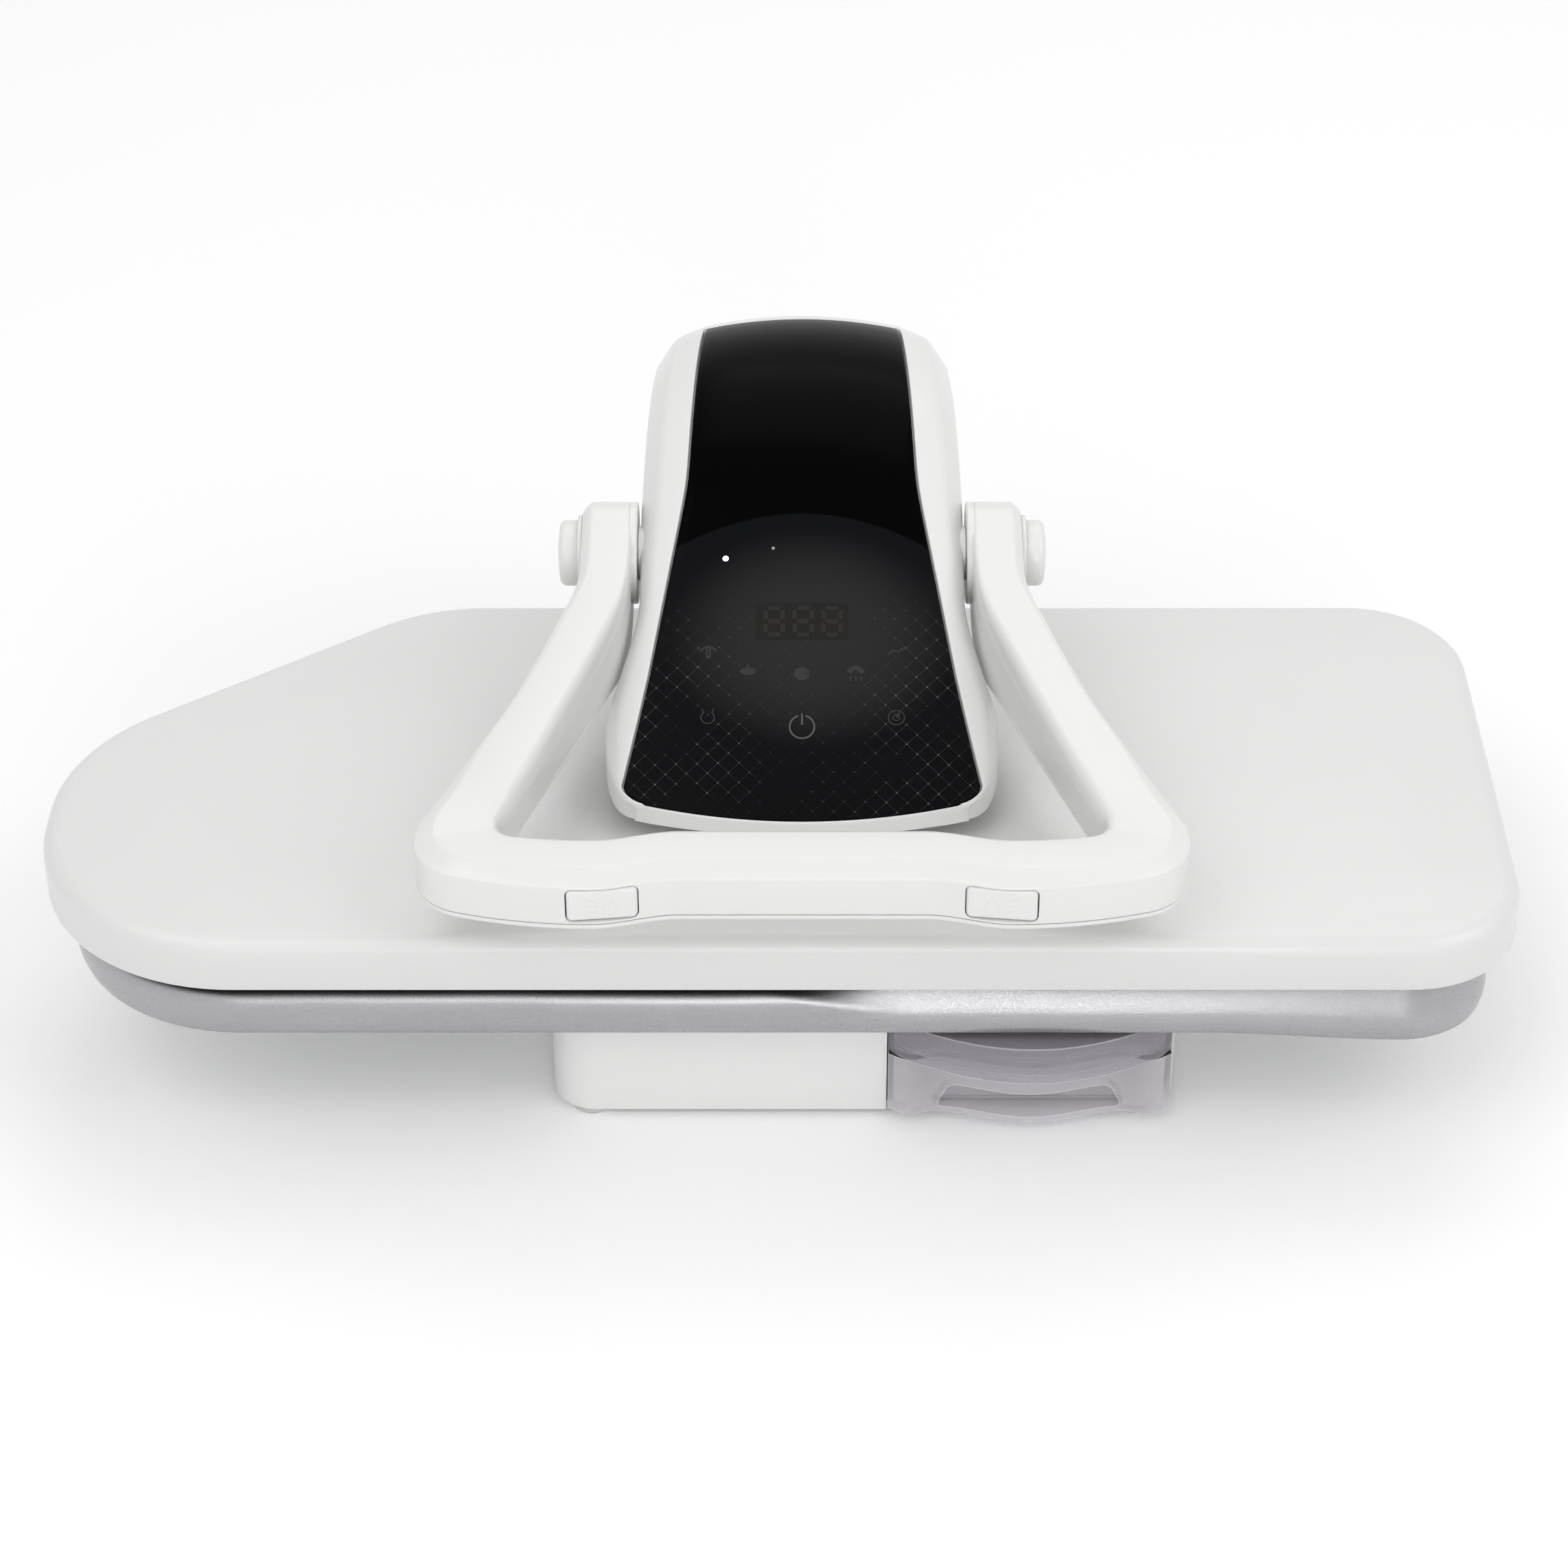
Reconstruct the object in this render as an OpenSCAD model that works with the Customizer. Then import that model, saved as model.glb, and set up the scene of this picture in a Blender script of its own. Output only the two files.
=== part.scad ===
// Steam ironing press: a padded board on a low base, with a heated plate carried by a hinged arm and closed by a
// U-shaped handle. Origin under the middle of the press, +X to the user's right, +Y to the back, +Z up.

/* [Plate] */
// Length of the pressing plate, nose to right end
plate_len = 656; // [610:1:700]
// Width of the pressing plate, front to back
plate_w = 273; // [260:1:290]
// Height of the plate cover's side
plate_side_h = 26; // [24:0.5:32]
// Wall of the plate cover
cover_wall = 3; // [2:0.25:3.5]
// Rounding of the cover's top edge
edge_round = 8; // [6:0.5:10]
// Rise of the cover's crown over its edge
cover_crown = 1.5; // [0.5:0.25:3]
// Radius of the two right corners in plan
corner_r = 52; // [48:1:70]
// Distance from the nose to where the slanted back edge starts
nose_run = 158; // [130:1:180]
// How far the slanted edge comes forward
nose_drop = 122; // [100:1:130]
// Radius of the nose in plan
nose_r = 93; // [70:1:95]
// Radius where the slanted edge meets the back edge
shoulder_r = 85; // [60:1:110]
// Thickness of the aluminium sole plate
sole_t = 12; // [8:0.5:13]
// Gap between the sole plate and the board when closed
press_gap = 0.6; // [0.4:0.1:1]
// Radius of a steam hole
steam_hole_r = 1.6; // [1:0.1:2.5]
// Pitch of the steam holes
steam_pitch = 36; // [24:1:48]

/* [Board] */
// How far the board lies inside the plate's outline
board_inset = 10; // [6:0.5:12]
// Height of the foam pad
foam_h = 27.3; // [22:0.1:32]
// Thickness of the fabric cover
fabric_t = 1.2; // [0.8:0.1:2]
// Width of the hem that is drawn in under the board
hem_w = 14; // [10:0.5:18]
// Thickness of the steel pan under the foam
pan_t = 1.5; // [1:0.1:2]

/* [Base] */
// Length of the base, left to right
base_len = 282; // [272:1:300]
// Width of the base, front to back
base_w = 315; // [305:1:320]
// Height of the base shell
base_h = 57; // [54:0.5:70]
// How far the middle of the base lies to the right
base_x = 40; // [36:0.5:46]
// Distance from the plate's front edge back to the base's front
base_set_back = 30; // [26:0.5:34]
// Wall of the base shell
base_wall = 3; // [2:0.25:4]
// Radius of the base's corners in plan
base_corner_r = 20; // [12:1:26]
// Height of the rubber feet
foot_h = 3; // [2:0.5:8]
// Radius of the rubber feet
foot_r = 10; // [8:0.5:12]
// Thickness of the base's floor plate
floor_t = 2.5; // [2:0.25:4]

/* [Water tank] */
// Width of the bay that the tank slides into
bay_w = 128; // [110:1:132]
// Depth of the bay
bay_depth = 167; // [150:1:175]
// Running gap round the tank
tank_gap = 0.6; // [0.4:0.1:1]
// Wall of the tank
tank_wall = 2.5; // [2:0.25:3]
// Height of the tank body below its lid
tank_body_h = 31; // [26:0.5:34]
// How far the lid's front bulges to give a finger grip
lid_bulge = 22; // [14:1:26]
// How far the body's front bulges in the middle
tank_bulge = 8; // [4:0.5:12]
// Radius of the filler cap
cap_r = 18; // [14:0.5:22]

/* [Arm] */
// Distance of the arm's middle plane to the right of the plate's middle
arm_x = 12; // [0:1:20]
// Distance from the plate's front edge back to the arm's tip
arm_set_back = 63; // [58:1:70]
// Gap between the plate and the arm
arm_clear = 12; // [10:0.5:16]
// Height of the lip at the arm's tip
lip_h = 5.6; // [5:0.1:8]
// Slope of the control panel in degrees
panel_slope = 34; // [31:0.5:36]
// Horizontal run of the straight slope
slope_run = 133; // [126:1:138]
// Radius of the arm's rear shoulder
rear_r = 38; // [32:1:44]
// Half width of the arm at the hinge
arm_half_rear = 70; // [66:0.5:74]
// Half width of the arm at the handle's hubs
arm_half_mid = 73.5; // [72:0.1:75]
// Half width of the arm at its flared front
arm_half_front = 88; // [84:0.5:90]
// Wall of the arm's housing
arm_wall = 3; // [2:0.25:3]
// Thickness of the glossy panel
panel_t = 2.2; // [1.6:0.1:3]
// Rise of the panel's middle over its edges
arm_crown = 5; // [3:0.5:6]
// Distance the arm reaches behind the plate
rear_reach = 103; // [98:0.5:108]

/* [Handle] */
// Distance the handle reaches in front of the plate, buttons included
handle_reach = 23; // [18:0.5:28]
// Half width of the handle's bar in plan
bar_half_w = 16; // [15:0.5:17]
// Height of the handle's bar above its bottom cover
bar_h = 23.4; // [20:0.1:26]
// Height of the bar's underside above the plate
bar_lift = 23.6; // [18:0.1:30]
// Thickness of the handle's bottom cover
grip_cover_t = 3; // [2:0.25:4]
// Wall of the handle's shell
handle_wall = 2.6; // [2:0.1:3]
// Distance from the plate's front to the handle's pivot
pivot_set_back = 199; // [194:0.5:204]
// Height of the pivot over the plate
pivot_lift = 73.6; // [71:0.1:76]
// Radius of the hub eyes
eye_r = 23.5; // [22:0.5:25]
// Width of a hub eye
eye_w = 23; // [20:0.5:25]
// Radius of the handle's shaft
shaft_r = 7; // [6:0.25:7.5]
// Angle by which the handle's arms splay out just ahead of the hubs
splay_start_angle = 19; // [17:0.5:20]
// Angle by which they splay out at the front corners
splay = 27; // [26:0.5:28]
// Radius of the first bend ahead of a hub
first_bend_r = 80; // [74:1:90]
// Radius of the long sweep after it
sweep_r = 800; // [760:5:840]
// Half width of the handle's arms in plan
grip_half_w = 12.8; // [12:0.1:13.2]
// Radius of the front corners' outer edge
grip_corner_r = 26; // [24:0.5:28]
// Radius of the front corners' inner edge
grip_fillet_r = 9; // [7:0.5:10]
// Radius of the bar's front edge as it bows back to the corners
bow_r = 197; // [185:1:210]
// How far the middle of the bar stands back from its ends
bar_recess = 6.8; // [4:0.1:7.5]
// Width of a button
button_w = 30; // [24:0.5:34]
// Height of a button
button_h = 16; // [12:0.25:16.5]
// Distance of a button's middle from the arm's middle plane
button_x = 84; // [80:0.5:90]
// Travel of a button
button_travel = 2; // [1:0.25:2.5]

/* [Mechanism] */
// Distance from the plate's back edge to the hinge
hinge_set_back = 43; // [41:0.5:46]
// Height of the hinge over the top of the base
hinge_lift = 45; // [43:0.5:48]
// Radius of the hinge axle
axle_r = 8; // [6:0.25:9]
// Radial running clearance of shafts in their bushes
run_fit = 0.05; // [0.02:0.01:0.09]
// Gap between faces that move past each other
face_gap = 0.3; // [0.2:0.05:0.5]
// Radius of the press column
column_r = 12; // [10:0.5:13]
// Radius of the two pressure cams
cam_r = 12.5; // [12:0.1:12.8]
// Throw of the cams
cam_throw = 4.45; // [4.2:0.05:4.6]
// Lobe angle from straight down when closed, in degrees
cam_angle = 60; // [57:1:63]
// Wire radius of the lift springs
lift_wire_r = 1.6; // [1:0.1:1.7]
// Pitch of the lift springs' turns
lift_pitch = 4; // [3.9:0.1:4.4]
// Wire radius of the return spring
return_wire_r = 1.4; // [1:0.1:1.45]

/* [Hidden] */
$fn = 48;
EPS = 0.01;

// Places along the depth of the press
half_depth = (handle_reach + plate_w + rear_reach) / 2;
plate_front = handle_reach - half_depth;
plate_back = plate_front + plate_w;
plate_mid_y = (plate_front + plate_back) / 2;
arm_front = plate_front + arm_set_back;
arm_back = half_depth;
pivot_y = plate_front + pivot_set_back;
hinge_y = plate_back + hinge_set_back;
base_front = plate_front + base_set_back;
base_back = base_front + base_w;
base_left = base_x - base_len / 2;
base_right = base_x + base_len / 2;

// Heights, stacked from the feet up
roof_t = 2.5;
board_boss_h = 2;
seam_gap = 0.1;
base_top = foot_h + base_h;
floor_top = foot_h + floor_t;
roof_bottom = base_top - roof_t;
pan_bottom = base_top + board_boss_h;
foam_bottom = pan_bottom + pan_t;
foam_top = foam_bottom + foam_h;
pad_top = foam_top + fabric_t + seam_gap;
sole_bottom = pad_top + press_gap;
sole_top = sole_bottom + sole_t;
cover_edge = sole_bottom + 1.8;
plate_top = cover_edge + plate_side_h;
arm_bottom = plate_top + arm_clear;
lip_top = arm_bottom + lip_h;
pivot_z = plate_top + pivot_lift;
hinge_z = base_top + hinge_lift;
bar_bottom = plate_top + bar_lift + grip_cover_t;

// Bay and tank
bay_right = base_right - base_wall;
bay_left = bay_right - bay_w;
bay_back = base_front + bay_depth;
tank_mid_x = (bay_left + bay_right) / 2;
tank_half_w = bay_w / 2 - tank_gap;
tank_back = bay_back - tank_gap;
tank_bottom = floor_top + face_gap;
seal_bottom = tank_bottom + tank_body_h;
seal_t = 0.8;
lid_bottom = seal_bottom + seal_t;
lid_top = roof_bottom - tank_gap;
tank_corner_y = base_front - 4.5;
lid_corner_y = base_front - 2;
pillar_bulge = 2.5;
well_floor = lid_bottom + 6;
cap_mid_y = plate_mid_y - 20;
neck_r = cap_r - 5;
valve_z = tank_bottom + 12;
valve_r = 6;
valve_nose = 15;

// Arm and panel
panel_seat = panel_t + 2 * seam_gap;
panel_groove = 0.8;
panel_rear_half = 49;
panel_flare = 28.6;
facet_share = 0.6;
facet_slopes = [0.42, 1.5];
flare_start = arm_front + 96;
flare_len = 56;
tip_corner_len = 35;
tip_corner_cut = 14;
tip_bow = 15;
tip_fade = 60;
crest_angle = 28;
rear_angle = 84;
slope_end = arm_front + slope_run;
slope_end_z = lip_top + slope_run * tan(panel_slope);
rear_lean = 6;
crest_r = (arm_back - rear_lean - slope_end - rear_r * (sin(rear_angle) - sin(crest_angle)))
    / (sin(panel_slope) + sin(crest_angle));
panel_end_angle = -20;
rim_drop = 0.6;
skirt_front = plate_back + 7;
skirt_bottom = base_top + 24;
rear_edge = base_top + 45;

// Handle path
hub_gap = 4;
hub_in = arm_half_mid + hub_gap;
hub_mid = hub_in + eye_w / 2;
bar_y = plate_front - handle_reach + 1 + bar_half_w;
bend_start = pivot_y - 30.5;
button_z = bar_bottom + 9.6;

// Mechanism
cheek_in = 20;
cheek_out = 30;
frame_in = 36;
frame_t = 3;
frame_out = frame_in + frame_t;
knee = [plate_back + 17, pivot_z - 33];
spring_bar = [hinge_y - 18.5, hinge_z + 45];
spring_bar_r = 6;
guide_bottom = arm_bottom + 8;
guide_top = guide_bottom + 12;
crosshead_top = pivot_z - cam_throw * cos(cam_angle) - cam_r - face_gap;
crosshead_t = 6;
cam_in = 14;
cam_w = 10;
lift_coil_r = 12;
lift_turns = 3.25;
return_coil_r = column_r + 4.5;

WHITE = [0.93, 0.93, 0.92];
PANEL_BLACK = [0.03, 0.03, 0.035];
STEEL = [0.62, 0.63, 0.65];
DARK_STEEL = [0.35, 0.36, 0.38];
ALUMINIUM = [0.77, 0.78, 0.79];
SILVER_CLOTH = [0.72, 0.73, 0.76];
FOAM = [0.93, 0.9, 0.78];
SMOKE = [0.42, 0.4, 0.47];
RUBBER = [0.1, 0.1, 0.11];
BRASS = [0.8, 0.66, 0.35];
BOARD_GREEN = [0.1, 0.35, 0.2];
GREY = [0.75, 0.75, 0.76];

// Small helpers
function lerp(a, b, t) = a + (b - a) * t;
function clamp01(t) = max(0, min(1, t));
function ease(t) = let (c = clamp01(t)) c * c * (3 - 2 * c);
function flatten(lists) = [for (l = lists) each l];
function unit(v) = v / norm(v);

// Round arc at corner b of an anticlockwise outline a, b, c, drawn inset from it
function corner_turn(a, b, c) = let (d = b - a, e = c - b) atan2(cross(d, e), d * e);
function corner_arc(a, b, c, r, inset) =
    let (
        along = unit(b - a),
        left = [-along.y, along.x],
        turn = corner_turn(a, b, c),
        centre = b - along * r * tan(turn / 2) + left * r,
        start = atan2(-left.y, -left.x),
        steps = ceil(turn / 10)
    )
    [for (k = [0:steps]) let (q = start + turn * k / steps) centre + (r - inset) * [cos(q), sin(q)]];
function rounded_outline(corners, radii, inset = 0) =
    let (n = len(corners))
    flatten([for (i = [0:n - 1])
        corner_arc(corners[(i + n - 1) % n], corners[i], corners[(i + 1) % n], radii[i], inset)]);

// Plan outline of the plate, drawn inset by a distance
nose_r_fit = min(nose_r, 0.98 * (plate_w - nose_drop) / (1 + tan((90 - atan2(nose_drop, nose_run)) / 2)));
plate_corners = [
    [plate_len / 2, plate_front],
    [plate_len / 2, plate_back],
    [nose_run - plate_len / 2, plate_back],
    [-plate_len / 2, plate_back - nose_drop],
    [-plate_len / 2, plate_front]
];
plate_radii = [corner_r, corner_r, shoulder_r, nose_r_fit, nose_r_fit];
function plate_outline(inset) = rounded_outline(plate_corners, plate_radii, inset);
function plate_ring(inset, z) = [for (p = plate_outline(inset)) [p.x, p.y, z]];

// Rounded rectangle between two corners
function box_outline(low, high, r, inset = 0) =
    rounded_outline([[high.x, low.y], high, [low.x, high.y], low], [r, r, r, r], inset);

// Solid through a stack of rings, capped by the first ring on top and the last one below;
// a ring with points along its straight edges is capped by a fan
function middle(ring) = [for (p = ring) 1 / len(ring)] * ring;
module ring_stack(rings, fan = false) {
    n = len(rings[0]);
    last = len(rings) - 1;
    count = n * len(rings);
    sides = [for (k = [0:last - 1], j = [0:n - 1])
        let (a = k * n + j, b = k * n + (j + 1) % n)
        each [[a, b, b + n], [a, b + n, a + n]]];
    top = fan ? [for (j = [0:n - 1]) [(j + 1) % n, j, count]] : [[for (j = [n - 1:-1:0]) j]];
    bottom = fan
        ? [for (j = [0:n - 1]) [last * n + j, last * n + (j + 1) % n, count + 1]]
        : [[for (j = [0:n - 1]) last * n + j]];
    points = concat(flatten(rings), fan ? [middle(rings[0]), middle(rings[last])] : []);
    polyhedron(points, concat(sides, top, bottom), convexity = 8);
}

// Wall between an outer and an inner grid of points, closed along all four edges
module thick_sheet(outer, inner) {
    rows = len(outer);
    cols = len(outer[0]);
    size = rows * cols;
    faces = [for (i = [0:rows - 2], j = [0:cols - 2])
        let (a = i * cols + j, b = a + 1, c = a + cols + 1, d = a + cols)
        each [[a, d, c], [a, c, b], [a + size, b + size, c + size], [a + size, c + size, d + size]]];
    front = [for (j = [0:cols - 2])
        let (a = j, b = j + 1)
        each [[a, b, b + size], [a, b + size, a + size]]];
    back = [for (j = [0:cols - 2])
        let (d = (rows - 1) * cols + j, c = d + 1)
        each [[c, d, d + size], [c, d + size, c + size]]];
    left = [for (i = [0:rows - 2])
        let (a = i * cols, d = a + cols)
        each [[d, a, a + size], [d, a + size, d + size]]];
    right = [for (i = [0:rows - 2])
        let (b = (i + 1) * cols - 1, c = b + cols)
        each [[b, c, c + size], [b, c + size, b + size]]];
    points = concat(flatten(outer), flatten(inner));
    polyhedron(points, concat(faces, front, back, left, right), convexity = 8);
}

// Round tube along a list of points, with its rings kept square to the path
function tangent(path, i) = unit(path[min(i + 1, len(path) - 1)] - path[max(i - 1, 0)]);
function tube_ring(centre, along, side, r, n) =
    let (u = unit(cross(side, along)), v = cross(along, u))
    [for (k = [0:n - 1]) let (q = 360 * k / n) centre + r * (cos(q) * u - sin(q) * v)];
module tube(path, r, side, n = 6) {
    ring_stack([for (i = [0:len(path) - 1]) tube_ring(path[i], tangent(path, i), side, r, n)]);
}

// Cylinder along X between two places, and one along Y
module rod_x(from, to, r, y, z) {
    translate([from, y, z]) rotate([0, 90, 0]) cylinder(r = r, h = to - from);
}
module rod_y(from, to, r, x, z) {
    translate([x, from, z]) rotate([-90, 0, 0]) cylinder(r = r, h = to - from);
}
// Both sides of the arm's middle plane
module both_sides() {
    for (side = [-1, 1]) translate([arm_x, 0, 0]) mirror([side < 0 ? 1 : 0, 0, 0]) children();
}
// Plate of uniform thickness along X, drawn in the plane of Y and Z
module slab_x(from, to) {
    translate([from, 0, 0]) rotate([90, 0, 90]) linear_extrude(to - from) children();
}
// Straight bar with a round start
module link(a, b, ra, rb) {
    d = b - a;
    lean = acos((ra - rb) / norm(d));
    heading = atan2(d.y, d.x);
    normals = [for (s = [1, -1]) [cos(heading + s * lean), sin(heading + s * lean)]];
    translate(a) circle(ra);
    polygon([a + ra * normals[0], b + rb * normals[0], b + rb * normals[1], a + ra * normals[1]]);
}

// Base
foot_inset = 18;
foot_places = [for (x = [base_left + foot_inset, base_right - foot_inset],
    y = [base_front + foot_inset - 8, base_back - foot_inset]) [x, y]];
floor_screw_inset = 13;
floor_screw_places = [
    [base_left + floor_screw_inset, base_front + 40],
    [base_left + floor_screw_inset, base_back - 40],
    [base_right - floor_screw_inset, base_back - 40],
    [bay_left - 14, base_front + 40]
];
floor_boss_r = 5;
floor_screw_r = 1.6;
board_screw_r = 2.4;
board_boss_r = 8;
board_screw_places = [
    [base_left + 26, base_front + 20],
    [bay_left - 22, base_front + 20],
    [base_left + 26, plate_back - 35],
    [bay_right - 20, plate_back - 35]
];
bay_wall = 2.5;
gland_x = base_left + 41;
gland_z = foot_h + 25;
gland_r = 7;
tower_half = 46;
tower_front = hinge_y - 26;
tower_back = hinge_y + 26;
tower_flange_t = 4;
tower_bolt_r = 3;
tower_bolt_places = [for (x = [-38, 38], y = [tower_front + 8, tower_back - 8]) [arm_x + x, y]];

module base_shell() {
    color(WHITE) difference() {
        union() {
            difference() {
                translate([0, 0, foot_h]) linear_extrude(base_h)
                    polygon(box_outline([base_left, base_front], [base_right, base_back], base_corner_r));
                difference() {
                    translate([0, 0, foot_h - EPS]) linear_extrude(base_h - roof_t + EPS)
                        polygon(box_outline([base_left, base_front], [base_right, base_back],
                            base_corner_r, base_wall));
                    translate([bay_left - bay_wall, base_front - EPS, floor_top])
                        cube([bay_w + bay_wall + base_wall, bay_depth + bay_wall, base_h]);
                }
            }
            for (p = board_screw_places) translate([p.x, p.y, base_top - EPS])
                cylinder(r = board_boss_r, h = board_boss_h + EPS);
            for (p = floor_screw_places) translate([p.x, p.y, floor_top])
                cylinder(r = floor_boss_r, h = roof_bottom - floor_top + EPS);
        }
        translate([bay_left, base_front - base_corner_r, foot_h - EPS])
            cube([bay_w, bay_depth + base_corner_r, roof_bottom - foot_h + EPS]);
        for (p = board_screw_places) translate([p.x, p.y, roof_bottom - EPS])
            cylinder(r = board_screw_r, h = roof_t + board_boss_h + 2 * EPS);
        for (p = floor_screw_places) translate([p.x, p.y, floor_top - EPS])
            cylinder(r = floor_screw_r, h = 12);
        for (p = tower_bolt_places) translate([p.x, p.y, roof_bottom - EPS])
            cylinder(r = tower_bolt_r, h = roof_t + 2 * EPS);
        rod_y(base_back - base_wall - 1, base_back + 1, gland_r, gland_x, gland_z);
        rod_y(bay_back - 1, bay_back + bay_wall + 1, valve_r + 1, tank_mid_x, valve_z);
    }
}

module floor_plate() {
    color(GREY) difference() {
        union() {
            translate([0, 0, foot_h]) linear_extrude(floor_t)
                polygon(box_outline([base_left, base_front], [base_right, base_back],
                    base_corner_r, base_wall + face_gap));
            for (p = board_post_places) translate([p.x, p.y, floor_top - EPS])
                cylinder(r = 3, h = board_post_h + EPS);
        }
        for (p = floor_screw_places) translate([p.x, p.y, foot_h - EPS]) {
            cylinder(r = floor_screw_r, h = floor_t + 1);
            cylinder(r = 2 * floor_screw_r, h = 1.2 + EPS);
        }
    }
}

module rubber_feet() {
    color(RUBBER) for (p = foot_places) translate([p.x, p.y, 0])
        rotate_extrude() polygon([[0, 0], [foot_r - 0.8, 0], [foot_r, 0.8], [foot_r, foot_h], [0, foot_h]]);
}

module floor_screws() {
    color(STEEL) for (p = floor_screw_places) translate([p.x, p.y, foot_h + 0.1]) {
        cylinder(r = 2 * floor_screw_r, h = 1.1);
        cylinder(r = floor_screw_r, h = floor_t + 10);
    }
}

// Hinge and lift springs
web_back = hinge_y + 23;
web_t = 3;

module hinge_tower() {
    color(DARK_STEEL) difference() {
        union() {
            translate([arm_x - tower_half, tower_front, base_top])
                cube([2 * tower_half, tower_back - tower_front, tower_flange_t]);
            both_sides() slab_x(cheek_in, cheek_out) {
                translate([hinge_y, hinge_z]) circle(20);
                polygon([[tower_front + 2, base_top + 1], [tower_back - 2, base_top + 1],
                    [hinge_y + 19, hinge_z], [hinge_y - 19, hinge_z]]);
            }
            translate([arm_x - cheek_out, web_back - web_t, base_top + 1])
                cube([2 * cheek_out, web_t, hinge_z - base_top - 8]);
        }
        rod_x(arm_x - cheek_out - 1, arm_x + cheek_out + 1, axle_r, hinge_y, hinge_z);
        for (p = tower_bolt_places) translate([p.x, p.y, base_top - 1])
            cylinder(r = tower_bolt_r, h = tower_flange_t + 2);
    }
}

module tower_bolts() {
    color(STEEL) for (p = tower_bolt_places) translate([p.x, p.y, 0]) {
        translate([0, 0, base_top + tower_flange_t]) cylinder(r = 5.5, h = 4, $fn = 6);
        translate([0, 0, roof_bottom - 7]) cylinder(r = tower_bolt_r, h = roof_t + tower_flange_t + 8);
        translate([0, 0, roof_bottom - 4.5]) cylinder(r = 5.5, h = 4.5, $fn = 6);
    }
}

bush_flange_in = cheek_out + face_gap;
bush_end = frame_out + 2;
clip_t = 1.5;

module hinge_axle() {
    reach = bush_end + face_gap + clip_t + 2;
    color(STEEL) rod_x(arm_x - reach, arm_x + reach, axle_r, hinge_y, hinge_z);
}

module axle_clips() {
    color(DARK_STEEL) both_sides() difference() {
        rod_x(bush_end + face_gap, bush_end + face_gap + clip_t, axle_r + 4, hinge_y, hinge_z);
        rod_x(bush_end, bush_end + 4, axle_r, hinge_y, hinge_z);
    }
}

function lift_path() =
    let (
        steps = 26,
        start_x = 3.2,
        turn = 360 * lift_turns,
        coil = [for (k = [0:steps]) let (q = turn * k / steps)
            [start_x + lift_pitch * q / 360, hinge_y - lift_coil_r * sin(q), hinge_z - lift_coil_r * cos(q)]],
        foot = [start_x, web_back - web_t - 0.6, hinge_z - lift_coil_r],
        end_x = start_x + lift_pitch * lift_turns,
        toe = [end_x, spring_bar.x - 9.3, spring_bar.y + 2]
    )
    concat([foot, foot + [0, -9, 0]], coil, [toe]);
// Least gap between neighbouring turns of a lift spring
lift_gap = let (p = lift_path()) min([for (i = [2:20], j = [i + 6:27]) norm(p[i] - p[j])]) - 2 * lift_wire_r;
echo(lift_spring_gap = lift_gap);

module lift_springs() {
    color(STEEL) both_sides() tube(lift_path(), lift_wire_r, [1, 0, 0]);
}

// Board
pan_inset = board_inset + 3;
pan_rim_h = 5;
foam_side = fabric_t + seam_gap;
// Side of the padded board as pairs of inset and height share, from the crown down
pad_profile = [[32, 1], [18, 0.985], [9, 0.945], [4, 0.86], [1.2, 0.7], [0, 0.45], [0, 0.2], [1.5, 0.04]];

// The cover's hem hangs a little lower at the right end, clear of the base
hem_droop = 4;
hem_slack = 0.4;
droop_start = base_right + 8;
droop_end = plate_len / 2 - corner_r;
droop_stops = [for (k = [0:3]) lerp(droop_start, droop_end, k / 4)];
function droop(p) = hem_droop * ease((p.x - droop_start) / (droop_end - droop_start));
function stops_between(a, b) =
    [for (k = [0:3]) let (x = droop_stops[b.x > a.x ? k : 3 - k])
        if ((x - a.x) * (x - b.x) < 0) lerp(a, b, (x - a.x) / (b.x - a.x))];
function board_ring(inset, z, share) =
    let (ring = plate_ring(board_inset + inset, z), n = len(ring))
    [for (k = [0:n - 1]) each [for (p = concat([ring[k]], stops_between(ring[k], ring[(k + 1) % n])))
        p - [0, 0, share * droop(p)]]];
function pad_rings(inset, low, high) =
    [for (s = pad_profile) board_ring(inset + s.x, lerp(low, high, s.y), 1 - s.y)];

module board_pan() {
    color(STEEL) difference() {
        translate([0, 0, pan_bottom]) linear_extrude(pan_t) polygon(plate_outline(pan_inset + foam_side));
        for (p = board_screw_places) translate([p.x, p.y, pan_bottom - 1])
            cylinder(r = board_screw_r, h = pan_t + 2);
    }
}

module board_screws() {
    color(STEEL) for (p = board_screw_places) translate([p.x, p.y, 0]) {
        translate([0, 0, roof_bottom - 3]) cylinder(r = 2 * board_screw_r, h = 3);
        translate([0, 0, roof_bottom - EPS]) cylinder(r = board_screw_r, h = foam_bottom - roof_bottom - seam_gap);
    }
}

module foam_pad() {
    color(FOAM) ring_stack(concat(pad_rings(foam_side, foam_bottom, foam_top),
        [board_ring(foam_side + 3, foam_bottom, 0)]), fan = true);
}

module board_cover() {
    low = pan_bottom - fabric_t - seam_gap;
    outer = pad_rings(0, low, pad_top);
    inner = pad_rings(fabric_t, foam_bottom, foam_top + seam_gap);
    hem = [
        board_ring(3, low, 1),
        board_ring(hem_w, low, hem_slack),
        board_ring(hem_w, low + fabric_t, hem_slack),
        board_ring(3 + fabric_t, low + fabric_t, 1)
    ];
    color(SILVER_CLOTH) ring_stack(concat(outer, hem, [for (k = [len(inner) - 1:-1:0]) inner[k]]), fan = true);
}

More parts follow.
